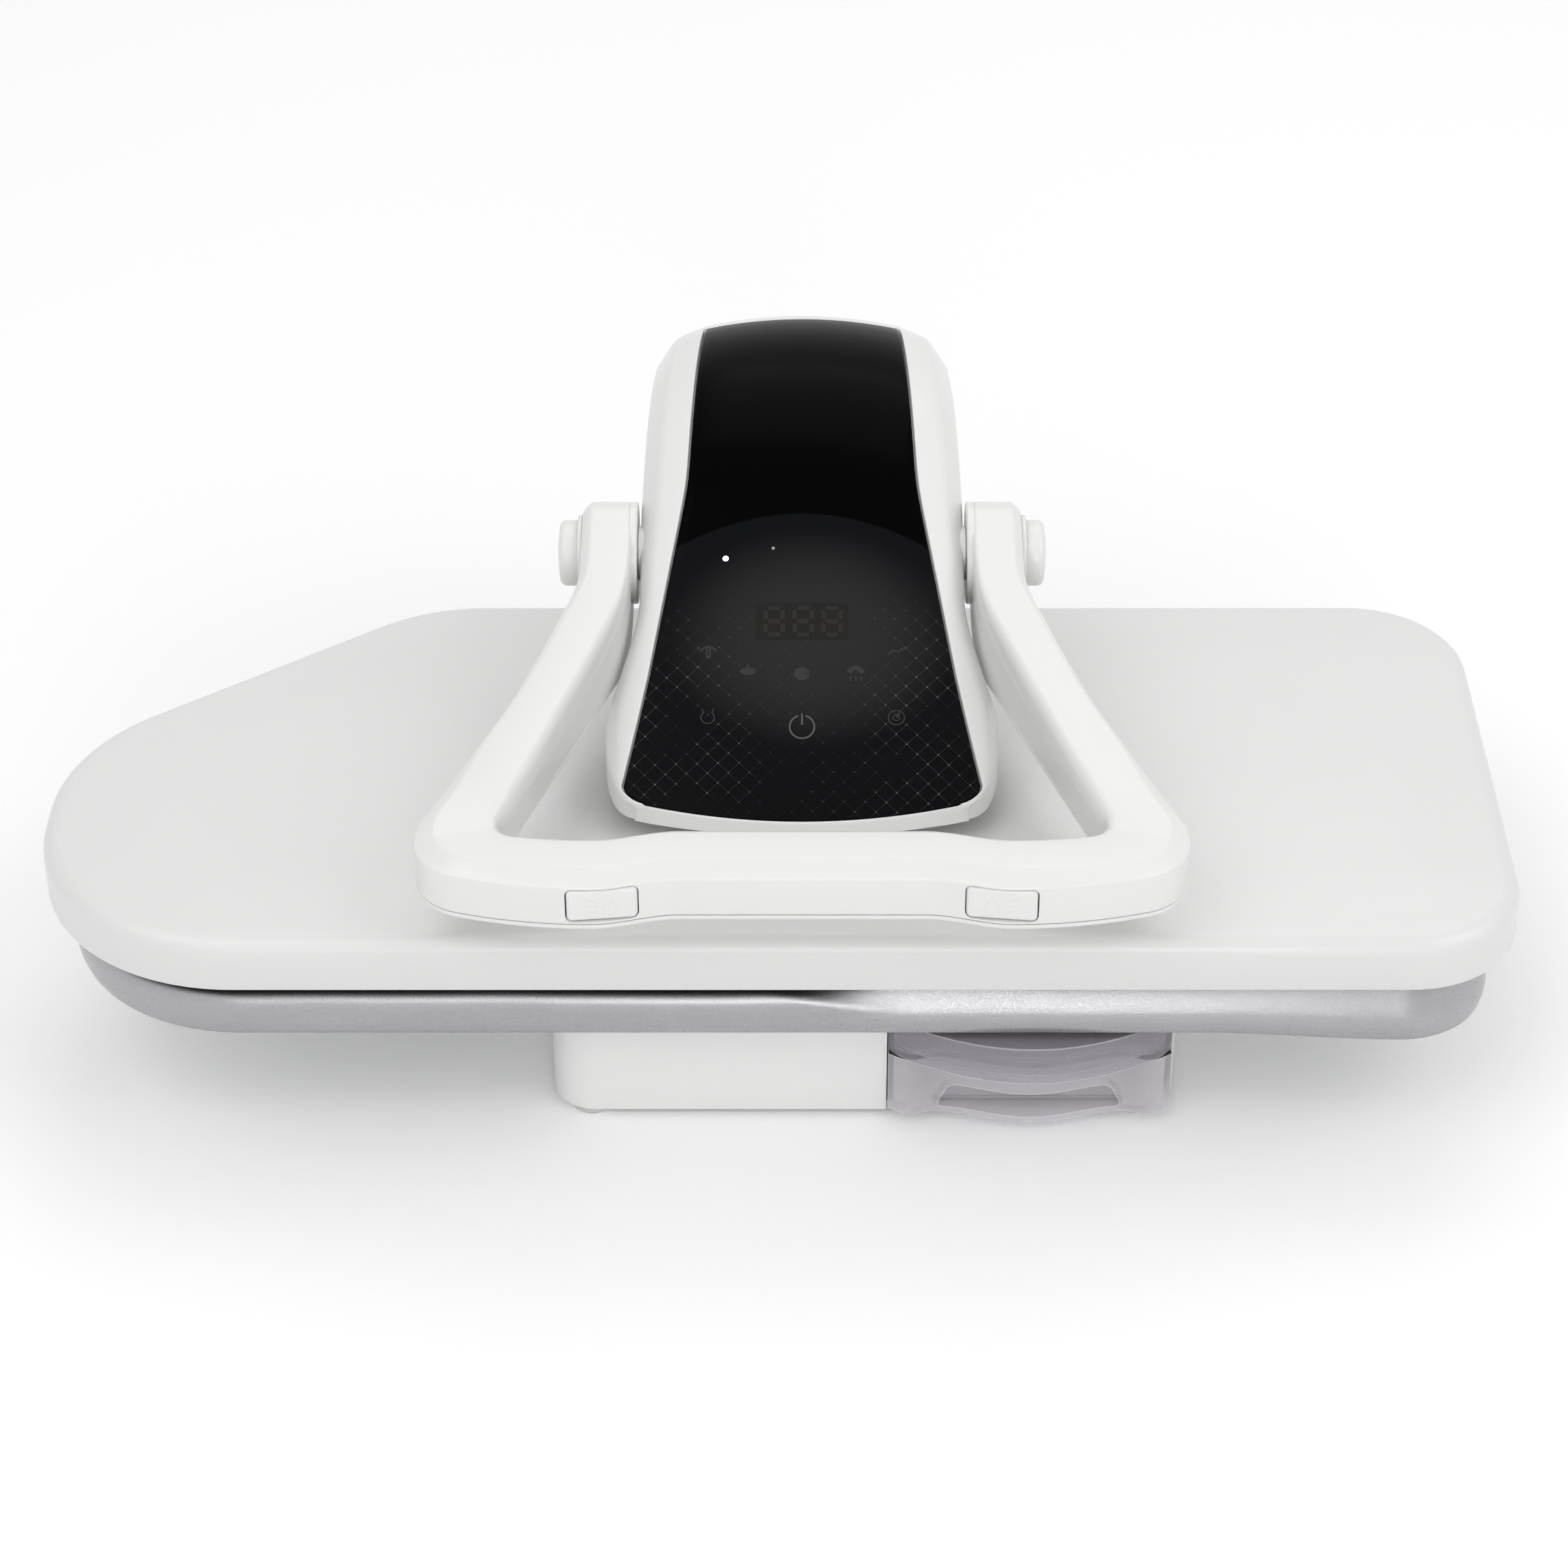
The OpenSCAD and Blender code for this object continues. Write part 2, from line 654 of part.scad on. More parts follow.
// Water system and power in the base
pump_x = base_left + 46;
pump_y = base_front + 82;
pump_size = [44, 60, 30];
pump_inlet = [pump_x + pump_size.x / 2 + 8, pump_y, floor_top + 13];
socket_len = 20;
socket_back = bay_back + bay_wall + socket_len;
socket_tail = 8;
hose_r = 4;
board_post_h = 8;
power_size = [85, 62, 1.6];
power_low = [base_left + 14, base_back - 108];
board_post_places = [for (x = [6, power_size.x - 6], y = [6, power_size.y - 6]) power_low + [x, y]];

module water_pump() {
    color(GREY) difference() {
        union() {
            translate([pump_x - pump_size.x / 2, pump_y - pump_size.y / 2, floor_top]) cube(pump_size);
            rod_y(pump_y + pump_size.y / 2 - 1, pump_y + pump_size.y / 2 + 34, 14, pump_x, floor_top + 15);
            rod_x(pump_x, pump_inlet.x, hose_r, pump_inlet.y, pump_inlet.z);
            translate([pump_x, pump_y, floor_top + pump_size.z - 1]) cylinder(r = 9, h = 9);
        }
        rod_x(pump_x + 10, pump_inlet.x + 1, hose_r - 1.5, pump_inlet.y, pump_inlet.z);
        translate([pump_x, pump_y, floor_top + pump_size.z]) cylinder(r = 3, h = 9);
    }
}

// The hose lies on the base's floor between the socket and the pump
hose_route = [
    [tank_mid_x, socket_back + socket_tail, valve_z],
    [tank_mid_x, socket_back + socket_tail + 8, valve_z],
    [tank_mid_x - 5, socket_back + socket_tail + 20, valve_z],
    [tank_mid_x - 18, socket_back + socket_tail + 27, valve_z],
    [bay_left - 5, socket_back + socket_tail + 28, valve_z],
    [bay_left - 26, socket_back + socket_tail + 22, valve_z],
    [bay_left - 38, socket_back + socket_tail + 6, valve_z],
    [bay_left - 40, bay_back - 10, valve_z],
    [bay_left - 42, pump_y + 30, pump_inlet.z],
    [bay_left - 47, pump_y + 10, pump_inlet.z],
    [bay_left - 58, pump_y + 1, pump_inlet.z],
    [pump_inlet.x + 8, pump_y, pump_inlet.z],
    pump_inlet
];

module pump_hose() {
    color(RUBBER) tube(hose_route, hose_r, [0, 0, 1], 8);
}

module tank_socket() {
    color(GREY) difference() {
        union() {
            rod_y(bay_back + bay_wall, socket_back, valve_r + 5, tank_mid_x, valve_z);
            rod_y(socket_back - 1, socket_back + socket_tail, hose_r, tank_mid_x, valve_z);
        }
        rod_y(bay_back, socket_back - 3, valve_r + face_gap, tank_mid_x, valve_z);
        rod_y(socket_back - 4, socket_back + socket_tail + 1, hose_r - 1.5, tank_mid_x, valve_z);
    }
}

module power_board() {
    color(BOARD_GREEN) translate([power_low.x, power_low.y, floor_top + board_post_h]) {
        cube(power_size);
        translate([14, 14, 1]) cube([24, 30, 20]);
        translate([48, 12, 1]) cube([16, 20, 16]);
        translate([56, 46, 1]) cylinder(r = 7, h = 22);
        translate([72, 46, 1]) cylinder(r = 4, h = 13);
    }
}

module cord_gland() {
    color(RUBBER) difference() {
        union() {
            rod_y(base_back - base_wall - 3, base_back + 1, gland_r, gland_x, gland_z);
            rod_y(base_back, base_back + 3, gland_r + 3, gland_x, gland_z);
        }
        rod_y(base_back - base_wall - 4, base_back + 4, gland_r / 2, gland_x, gland_z);
    }
}

// Tank
function bump(u, middle, half) = pow(cos(90 * min(1, abs(u - middle) / half)), 2);
function tank_front(u) = tank_corner_y - tank_bulge * bump(u, 0, 0.7)
    - pillar_bulge * bump(abs(u), 0.84, 0.16) + pillar_bulge * pow(u, 20);
function lid_front(u) = lid_corner_y - lid_bulge * (1 - u * u) + pillar_bulge * pow(u, 20);
tank_steps = 32;
function tank_outline(inset) = concat(
    [[tank_mid_x + tank_half_w - inset, tank_back - inset], [tank_mid_x - tank_half_w + inset, tank_back - inset]],
    [for (k = [0:tank_steps]) let (u = 2 * k / tank_steps - 1)
        [tank_mid_x + u * (tank_half_w - inset), tank_front(u) + inset]]);
function lid_outline(inset) = concat(
    [[tank_mid_x + tank_half_w - inset, tank_back - inset], [tank_mid_x - tank_half_w + inset, tank_back - inset]],
    [for (k = [0:tank_steps]) let (u = 2 * k / tank_steps - 1)
        [tank_mid_x + u * (tank_half_w - inset), lid_front(u) + inset]]);

// Finger pocket in the front of the tank, drawn with a wall round it or without
pocket_low = tank_bottom + tank_wall + 0.5;
pocket_h = 13;
pocket_half = [42, 36];
pocket_r = 6;
pocket_back = tank_corner_y + 6;
module finger_pocket(wall) {
    corners = [[pocket_half.x, 0], [pocket_half.y, pocket_h], [-pocket_half.y, pocket_h], [-pocket_half.x, 0]];
    translate([tank_mid_x, pocket_back + wall, pocket_low]) rotate([90, 0, 0]) linear_extrude(40)
        polygon(rounded_outline(corners, [2, pocket_r, pocket_r, 2], -wall));
}
module tank_block() {
    translate([0, 0, tank_bottom]) linear_extrude(tank_body_h) polygon(tank_outline(0));
}

module tank_body() {
    color(SMOKE, 0.6) difference() {
        union() {
            difference() {
                tank_block();
                translate([0, 0, tank_bottom + tank_wall]) linear_extrude(tank_body_h)
                    polygon(tank_outline(tank_wall));
            }
            intersection() {
                tank_block();
                finger_pocket(tank_wall);
            }
        }
        finger_pocket(0);
        rod_y(tank_back - tank_wall - 1, tank_back + 1, valve_r, tank_mid_x, valve_z);
    }
}

module tank_seal() {
    color(RUBBER) translate([0, 0, seal_bottom]) linear_extrude(seal_t) difference() {
        polygon(tank_outline(0.3));
        polygon(tank_outline(tank_wall));
    }
}

module tank_lid() {
    lid_h = lid_top - lid_bottom;
    color(SMOKE, 0.6) difference() {
        union() {
            difference() {
                translate([0, 0, lid_bottom]) linear_extrude(lid_h) polygon(lid_outline(0));
                translate([0, 0, lid_bottom + tank_wall]) linear_extrude(lid_h - 2 * tank_wall)
                    polygon(lid_outline(tank_wall));
                translate([0, 0, lid_bottom - 1]) linear_extrude(tank_wall + 2)
                    polygon(tank_outline(tank_wall + 1));
            }
            translate([tank_mid_x, cap_mid_y, well_floor - tank_wall])
                cylinder(r = cap_r + tank_gap + tank_wall, h = lid_top - well_floor + tank_wall);
        }
        translate([tank_mid_x, cap_mid_y, well_floor]) cylinder(r = cap_r + tank_gap, h = lid_h);
        translate([tank_mid_x, cap_mid_y, well_floor - tank_wall - 1]) cylinder(r = neck_r, h = lid_h);
    }
}

module tank_cap() {
    disc_t = 4;
    bar_t = 4;
    color(SMOKE) translate([tank_mid_x, cap_mid_y, well_floor + face_gap]) {
        cylinder(r = cap_r, h = disc_t);
        translate([0, 0, -5]) cylinder(r = neck_r - tank_gap, h = 5 + EPS);
        translate([3 - cap_r, -bar_t / 2, disc_t - EPS])
            cube([2 * cap_r - 6, bar_t, lid_top - well_floor - face_gap - disc_t - 1]);
    }
}

module tank_valve() {
    color(GREY) difference() {
        union() {
            rod_y(tank_back - tank_wall - 5, tank_back + valve_nose, valve_r, tank_mid_x, valve_z);
            rod_y(tank_back - tank_wall - 3, tank_back - tank_wall, valve_r + 3, tank_mid_x, valve_z);
        }
        rod_y(tank_back - tank_wall - 6, tank_back + valve_nose + 1, valve_r - 2.5, tank_mid_x, valve_z);
    }
}

// Arm housing, drawn on stations along its top line: place along Y, height, slope
function arm_half(y) =
    let (tip = clamp01((arm_front + tip_corner_len - y) / tip_corner_len))
    lerp(arm_half_rear, arm_half_mid, clamp01((hinge_y - y) / (hinge_y - pivot_y)))
        + (arm_half_front - arm_half_mid) * ease((flare_start - y) / flare_len)
        - tip_corner_cut * (1 - sqrt(1 - tip * tip));
function panel_half(y) = min(arm_half(y) - 2,
    panel_rear_half + panel_flare * pow(clamp01((arm_back - 33 - y) / 267), 2.7));
function arm_rim(y) = y < skirt_front ? arm_bottom - rim_drop
    : skirt_bottom + (rear_edge - skirt_bottom - 5) * clamp01((y - hinge_y - 12) / 24);
function on_slope(y) = [y, lip_top + (y - arm_front) * tan(panel_slope), panel_slope];
function on_crest(q) = [slope_end + crest_r * (sin(panel_slope) - sin(q)),
    slope_end_z + crest_r * (cos(q) - cos(panel_slope)), q];
crest_end = on_crest(-crest_angle);
function on_rear(q) = [crest_end.x + rear_r * (sin(-q) - sin(crest_angle)),
    crest_end.y + rear_r * (cos(q) - cos(crest_angle)), q];
panel_front = arm_front + 1.6;
panel_line = concat(
    [for (k = [0:12]) on_slope(lerp(panel_front, slope_end, k / 12))],
    [for (k = [1:8]) on_crest(lerp(panel_slope, panel_end_angle, k / 8))]
);
tip_line = [[arm_front - 1.5, arm_bottom, 90], [arm_front, lip_top, 60]];
rear_line = concat(
    [on_crest(panel_end_angle - 0.6), crest_end],
    [for (k = [1:5]) on_rear(lerp(-crest_angle, -rear_angle, k / 5))],
    [[arm_back - 1, lerp(rear_edge, on_rear(-rear_angle).y, 0.5), -86], [arm_back, rear_edge, -90]]
);

// Point on a station, off the middle by x, below the top line by a drop and inside it by a depth;
// the tip follows the panel's crown and bows back towards its corners
function bow(s, x) = tip_bow * pow(x / arm_half_front, 2) * clamp01(1 - (s.x - arm_front) / tip_fade);
function arm_point(s, x, drop, depth = 0) =
    let (lay = min(s.z, panel_slope), lift = bow(s, x) * sin(panel_slope) - drop * cos(lay))
    [
        arm_x + x,
        s.x + drop * sin(lay) + depth * sin(s.z) + bow(s, x) * cos(panel_slope),
        s.y - depth * cos(s.z) + (s.z == 90 ? 0 : lift)
    ];
function crown_drop(x, half) = arm_crown * pow(x / half, 2);
CROWN_STEPS = [-1, -0.66, -0.33, 0, 0.33, 0.66, 1];
SIDE_POINTS = 4;
function arm_section(s, wall, seat) =
    let (
        w = arm_half(s.x),
        p = panel_half(s.x),
        m = p + facet_share * (w - p),
        mid_drop = arm_crown + facet_slopes[0] * (m - p),
        side_drop = mid_drop + facet_slopes[1] * (w - m),
        half = p - panel_groove - 0.2 * wall,
        side_top = arm_point(s, w - wall, side_drop, 0.5 * wall),
        edges = [
            arm_point(s, m - 0.7 * wall, mid_drop, 0.85 * wall),
            arm_point(s, p - 0.3 * wall, arm_crown, wall)
        ],
        rim = [side_top.x, side_top.y, arm_rim(side_top.y)],
        right = concat([rim, side_top], edges),
        left = [for (q = right) [2 * arm_x - q.x, q.y, q.z]],
        crown = [for (t = CROWN_STEPS) arm_point(s, t * half, crown_drop(t * half, p) + seat, wall)]
    )
    concat(left, crown, [for (k = [SIDE_POINTS - 1:-1:0]) right[k]]);
function arm_grid(wall) = concat(
    [for (s = tip_line) arm_section(s, wall, 0)],
    [for (s = panel_line) arm_section(s, wall, panel_seat)],
    [for (s = rear_line) arm_section(s, wall, 0)]
);

// Frame on the slope under the panel, for the electronics
board_place = arm_front + 59;
module on_panel() {
    s = on_slope(board_place);
    translate([arm_x, s.x, s.y]) rotate([panel_slope, 0, 0]) children();
}
board_depth = panel_t + 8;
window = [104, 76];
window_mid = 3;
post_x = window.x / 2 + 5;
post_y = window.y / 2 - 6;
post_sink = 5.5;
under_screw_places = [for (x = [-67, 67]) [arm_x + x, arm_front + 36]];
under_post_places = [for (x = [-26, 26]) [arm_x + x, pivot_y]];
under_screw_r = 1.8;
under_t = 2.2;

module arm_housing() {
    boss_r = eye_r - 3;
    boss_sink = 5;
    boss_top = on_slope(under_screw_places[0].y).y - 12;
    color(WHITE) difference() {
        union() {
            thick_sheet(arm_grid(0), arm_grid(arm_wall));
            both_sides() rod_x(arm_half_mid - boss_sink, hub_in - face_gap, boss_r, pivot_y, pivot_z);
            both_sides() rod_x(frame_out, arm_half_mid - boss_sink + 1, shaft_r + 4, pivot_y, pivot_z);
            for (p = under_screw_places) translate([p.x, p.y, arm_bottom + under_t])
                cylinder(r = 4.5, h = boss_top - arm_bottom - under_t);
            on_panel() for (x = [-post_x, post_x], y = [-post_y, post_y])
                translate([x, y + window_mid, -board_depth]) cylinder(r = 3, h = board_depth - panel_seat - post_sink);
        }
        rod_x(arm_x - hub_mid, arm_x + hub_mid, shaft_r + 0.4, pivot_y, pivot_z);
        on_panel() translate([-window.x / 2, window_mid - window.y / 2, -12]) cube([window.x, window.y, 13]);
        for (p = under_screw_places) translate([p.x, p.y, arm_bottom + under_t - 1])
            cylinder(r = under_screw_r, h = 13);
    }
}

// The undercover follows the inside of the housing's tip and rim
under_fit = arm_wall + 0.6;
under_tip = let (tip = arm_section(tip_line[0], under_fit, 0))
    [for (k = [0:len(CROWN_STEPS) - 1]) let (q = tip[SIDE_POINTS + k]) [q.x - arm_x, q.y]];
under_rims = [for (s = panel_line) let (q = arm_section(s, under_fit, 0)[0])
    if (q.y < skirt_front - 4) [arm_x - q.x, q.y]];

module arm_undercover() {
    outline = concat(
        under_tip,
        under_rims,
        [for (k = [len(under_rims) - 1:-1:0]) [-under_rims[k].x, under_rims[k].y]]
    );
    color(WHITE) difference() {
        union() {
            translate([arm_x, 0, arm_bottom]) linear_extrude(under_t) polygon(outline);
            for (p = under_post_places) translate([p.x, p.y, arm_bottom + 1])
                cylinder(r = 5, h = guide_bottom - arm_bottom - 1);
        }
        translate([arm_x, pivot_y, arm_bottom - 1]) cylinder(r = column_r + 2, h = under_t + 2);
        for (p = concat(under_screw_places, under_post_places)) translate([p.x, p.y, arm_bottom - 1])
            cylinder(r = under_screw_r, h = guide_bottom);
    }
}

module undercover_screws() {
    color(STEEL) for (p = concat(under_screw_places, under_post_places)) translate([p.x, p.y, arm_bottom]) {
        long = p.y == pivot_y;
        translate([0, 0, -2]) cylinder(r = 3.4, h = 2);
        translate([0, 0, -EPS]) cylinder(r = under_screw_r, h = long ? guide_bottom - arm_bottom + 8 : 12);
    }
}

module control_panel() {
    function panel_row(s, drop) =
        let (p = panel_half(s.x), half = p - panel_groove - 0.3)
        [for (k = [0:12]) let (x = half * (k / 6 - 1)) arm_point(s, x, crown_drop(x, p) + drop)];
    color(PANEL_BLACK) thick_sheet(
        [for (s = panel_line) panel_row(s, seam_gap)],
        [for (s = panel_line) panel_row(s, seam_gap + panel_t)]
    );
}

module control_board() {
    color(BOARD_GREEN) on_panel() translate([-post_x - 4, window_mid - window.y / 2, -board_depth - 1.6])
        cube([2 * post_x + 8, window.y, 1.6]);
}

display_size = [40, 20];
display_up = 26;
module display_module() {
    color(RUBBER) on_panel() translate([-display_size.x / 2, display_up - display_size.y / 2, -board_depth])
        cube([display_size.x, display_size.y, board_depth - panel_t - 2 * seam_gap - 0.6]);
}

// Spring pads that carry a touch from the panel to the board
pad_places = [[-42, 12], [42, 12], [-24, 1], [0, 1], [24, 1], [-42, -21], [42, -21], [0, -25]];
module touch_pads() {
    color(STEEL) on_panel() for (p = pad_places) translate([p.x, p.y, -board_depth])
        cylinder(r = 4, h = board_depth - panel_t - 0.8 - crown_drop(p.x, panel_half(board_place + p.y) - 8));
}

// Load-bearing frame inside the arm
module arm_frame() {
    hinge = [hinge_y, hinge_z];
    pivot = [pivot_y, pivot_z];
    guide = [pivot_y, (guide_bottom + guide_top) / 2];
    color(DARK_STEEL) difference() {
        union() {
            both_sides() slab_x(frame_in, frame_out) {
                link(hinge, knee, 18, 14);
                link(knee, pivot, 14, 12.5);
                link(pivot, guide, 12.5, 11.2);
                translate(guide) circle(11.2);
            }
            rod_x(arm_x - frame_in - 1, arm_x + frame_in + 1, spring_bar_r, spring_bar.x, spring_bar.y);
            rod_x(arm_x - frame_in - 1, arm_x + frame_in + 1, spring_bar_r, (knee.x + pivot_y) / 2 + 6,
                (knee.y + pivot_z) / 2);
        }
        both_sides() rod_x(frame_in - 1, frame_out + 1, axle_r + 3, hinge_y, hinge_z);
        both_sides() rod_x(frame_in - 1, frame_out + 1, shaft_r + 3, pivot_y, pivot_z);
    }
}

module hinge_bushes() {
    color(BRASS) both_sides() difference() {
        union() {
            rod_x(bush_flange_in, frame_in, axle_r + 6, hinge_y, hinge_z);
            rod_x(frame_in - EPS, bush_end, axle_r + 3, hinge_y, hinge_z);
        }
        rod_x(bush_flange_in - 1, bush_end + 1, axle_r + run_fit, hinge_y, hinge_z);
    }
}

module shaft_bushes() {
    color(BRASS) both_sides() difference() {
        rod_x(frame_in - 4, frame_out, shaft_r + 3, pivot_y, pivot_z);
        rod_x(frame_in - 5, frame_out + 1, shaft_r + run_fit, pivot_y, pivot_z);
    }
}

module guide_block() {
    color(ALUMINIUM) difference() {
        translate([arm_x - frame_in, pivot_y - 20, guide_bottom])
            cube([2 * frame_in, 40, guide_top - guide_bottom]);
        translate([arm_x, pivot_y, guide_bottom - 1]) cylinder(r = column_r + run_fit, h = guide_top - guide_bottom + 2);
        for (p = under_post_places) translate([p.x, p.y, guide_bottom - 1]) cylinder(r = under_screw_r, h = 12);
    }
}

// Handle, drawn on stations between its inner and outer edge: middle, outward direction, half width, half height
bar_mid_z = bar_bottom + bar_h / 2;
hub_half_h = eye_r;
function rise(y) = clamp01((y - bar_y - 18) / (pivot_y - bar_y - 18));
function grip_station(inner, outer) =
    let (m = (inner + outer) / 2, w = norm(outer - inner) / 2, t = rise(m.y))
    [[m.x, m.y, lerp(bar_mid_z, pivot_z, t)], (outer - inner) / (2 * w), w, lerp(bar_h / 2, hub_half_h, t)];

// Arms: a bend ahead of the hubs, then a long sweep to the corners
corner_half_w = 15;
hub_half_w = eye_w / 2 - 0.3;
function on_bend(q) = [hub_mid + first_bend_r * (1 - cos(q)), bend_start - first_bend_r * sin(q)];
function on_sweep(q) = on_bend(splay_start_angle)
    + sweep_r * [cos(splay_start_angle) - cos(q), sin(splay_start_angle) - sin(q)];
splay_end = on_sweep(splay);
function arm_width(y) = lerp(
    lerp(corner_half_w, grip_half_w, ease((y - splay_end.y) / 55)), hub_half_w, ease((y - bend_start + 30) / 30));
function arm_station(p, q) =
    let (out = arm_width(p.y) * [cos(q), sin(q)])
    grip_station(p - out, p + out);

// Corners: an outer and an inner round, each tangent to the arm's edge and to the bar's edge
bow_angle = 17;
fillet_angle = 8;
fillet_rise = 2;
bar_front = bar_y - bar_half_w;
bar_back = bar_y + bar_half_w;
function round_middle(start, y, r) = [start.x + (start.y - y - r * sin(splay)) * tan(splay) - r * cos(splay), y];
arm_edge = corner_half_w * [cos(splay), sin(splay)];
outer_mid = round_middle(splay_end + arm_edge,
    bar_front + bow_r * (1 - cos(bow_angle)) + grip_corner_r * cos(bow_angle), grip_corner_r);
inner_mid = round_middle(splay_end - arm_edge, bar_back + fillet_rise + grip_fillet_r * cos(fillet_angle), grip_fillet_r);
function on_outer(q) = outer_mid + grip_corner_r * [cos(q), sin(q)];
function on_inner(q) = inner_mid + grip_fillet_r * [cos(q), sin(q)];

// Bar: its middle stands back, and its ends bow back to the corners
bow_start = outer_mid.x + (grip_corner_r - bow_r) * sin(bow_angle);
fillet_end = on_inner(fillet_angle - 90);
recess_len = 37;
function bar_station(x, back) = grip_station([x, bar_back + back], [x, bar_front + back]);
right_stations = concat(
    [for (k = [0:2]) bar_station(k / 3 * (bow_start - recess_len), bar_recess)],
    [for (k = [0:8]) bar_station(bow_start - recess_len * (1 - k / 8), bar_recess * (1 - ease(k / 8)))],
    [for (k = [1:5]) let (q = bow_angle * k / 5, t = k / 5) grip_station(
        [lerp(bow_start, fillet_end.x, t), bar_back + fillet_rise * t * t],
        [bow_start + bow_r * sin(q), bar_front + bow_r * (1 - cos(q))])],
    [for (k = [1:11]) grip_station(on_inner(lerp(fillet_angle - 90, splay, k / 11)),
        on_outer(lerp(bow_angle - 90, splay, k / 11)))],
    [for (k = [1:3]) grip_station(lerp(on_inner(splay), splay_end - arm_edge, k / 4),
        lerp(on_outer(splay), splay_end + arm_edge, k / 4))],
    [for (k = [0:6]) let (q = lerp(splay, splay_start_angle, k / 6)) arm_station(on_sweep(q), q)],
    [for (k = [1:4]) let (q = splay_start_angle * (1 - k / 4)) arm_station(on_bend(q), q)],
    [for (k = [1:2]) arm_station([hub_mid, lerp(bend_start, pivot_y, k / 2)], 0)]
);
function mirrored(s) = [[-s[0].x, s[0].y, s[0].z], [-s[1].x, s[1].y], s[2], s[3]];
grip_stations = concat(
    [for (k = [len(right_stations) - 1:-1:1]) mirrored(right_stations[k])],
    right_stations
);
function grip_point(s, out, up) = [arm_x + s[0].x + out * s[1].x, s[0].y + out * s[1].y, s[0].z + up];
// Chamfers on the bar, along the arms and at the hubs: wide on the bar's front edge, high on the arms' inner edge
outer_chamfer = [[9, 4.5], [3.2, 4], [3, 3]];
inner_chamfer = [[3.5, 6], [3.5, 10], [2, 3]];
// How far the inner wall leans in at its foot, in the same three places
inner_lean = [0, 3, 0];
function along_grip(sizes, s) = lerp(
    lerp(sizes[0], sizes[1], ease((s[0].y - bar_y - 12) / 60)), sizes[2], ease((s[0].y - bend_start + 45) / 55));
function grip_section(s, wall) =
    let (
        w = s[2] - wall,
        h = s[3],
        top = h - wall,
        o = along_grip(outer_chamfer, s),
        i = along_grip(inner_chamfer, s)
    )
    [
        grip_point(s, along_grip(inner_lean, s) - w, -h),
        grip_point(s, -w, h - i.y),
        grip_point(s, 0.3 * i.x - w, h - 0.4 * i.y - 0.8 * wall),
        grip_point(s, i.x - s[2], top),
        grip_point(s, s[2] - o.x - 0.3 * wall, top),
        grip_point(s, w, h - o.y - 0.4 * wall),
        grip_point(s, w, -h)
    ];
function cover_section(s) =
    let (w = s[2] - 0.5, inside = along_grip(inner_lean, s) - w, low = -s[3] - grip_cover_t)
    [
        grip_point(s, inside, -s[3]),
        grip_point(s, w, -s[3]),
        grip_point(s, w, low + 1.2),
        grip_point(s, w - 1.2, low),
        grip_point(s, inside + 1.2, low),
        grip_point(s, inside, low + 1.2)
    ];
button_depth = 9.1;
button_slant = 6.3;
button_back = bar_front + button_depth;

module handle_body() {
    color(WHITE) difference() {
        union() {
            thick_sheet([for (s = grip_stations) grip_section(s, 0)],
                [for (s = grip_stations) grip_section(s, handle_wall)]);
            both_sides() rod_x(hub_in, hub_in + eye_w, eye_r, pivot_y, pivot_z);
        }
        both_sides() rod_x(hub_in - 1, hub_in + eye_w + 1, shaft_r, pivot_y, pivot_z);
        both_sides() translate([button_x - button_w / 2 - face_gap, bar_front - 1, button_z - button_h / 2 - face_gap])
            cube([button_w + 2 * face_gap, button_depth - 0.6, button_h + 2 * face_gap]);
    }
}

module handle_cover() {
    eye_cut = eye_r + 0.2;
    color(GREY) difference() {
        ring_stack([for (s = grip_stations) cover_section(s)]);
        both_sides() rod_x(hub_in - 3, hub_in + eye_w + 3, eye_cut, pivot_y, pivot_z);
    }
}

module handle_shaft() {
    color(STEEL) rod_x(arm_x - hub_in - eye_w - 2, arm_x + hub_in + eye_w + 2, shaft_r, pivot_y, pivot_z);
}

module hub_washers() {
    color(WHITE) both_sides() difference() {
        rod_x(hub_in + eye_w, hub_in + eye_w + 2, eye_r - 6, pivot_y, pivot_z);
        rod_x(hub_in, hub_in + eye_w + 4, shaft_r, pivot_y, pivot_z);
    }
}

module hub_caps() {
    cap = eye_r - 8.4;
    color(WHITE) both_sides() translate([hub_in + eye_w + 2, pivot_y, pivot_z]) rotate([0, 90, 0])
        rotate_extrude() polygon(concat([[0, 0], [cap, 0], [cap, 4]],
            [for (k = [1:5]) [cap - 8 * (1 - cos(18 * k)), 4 + 5 * sin(18 * k)]], [[0, 9.4]]));
}

module pressure_cams() {
    color(STEEL) both_sides() difference() {
        rod_x(cam_in, cam_in + cam_w, cam_r, pivot_y - cam_throw * sin(cam_angle),
            pivot_z - cam_throw * cos(cam_angle));
        rod_x(cam_in - 1, cam_in + cam_w + 1, shaft_r, pivot_y, pivot_z);
    }
}

module button_switches() {
    front = button_back + 2.6 + button_travel + face_gap;
    color(RUBBER) both_sides() translate([button_x - 7, front, bar_bottom])
        cube([14, 8, bar_h - handle_wall - 4]);
}

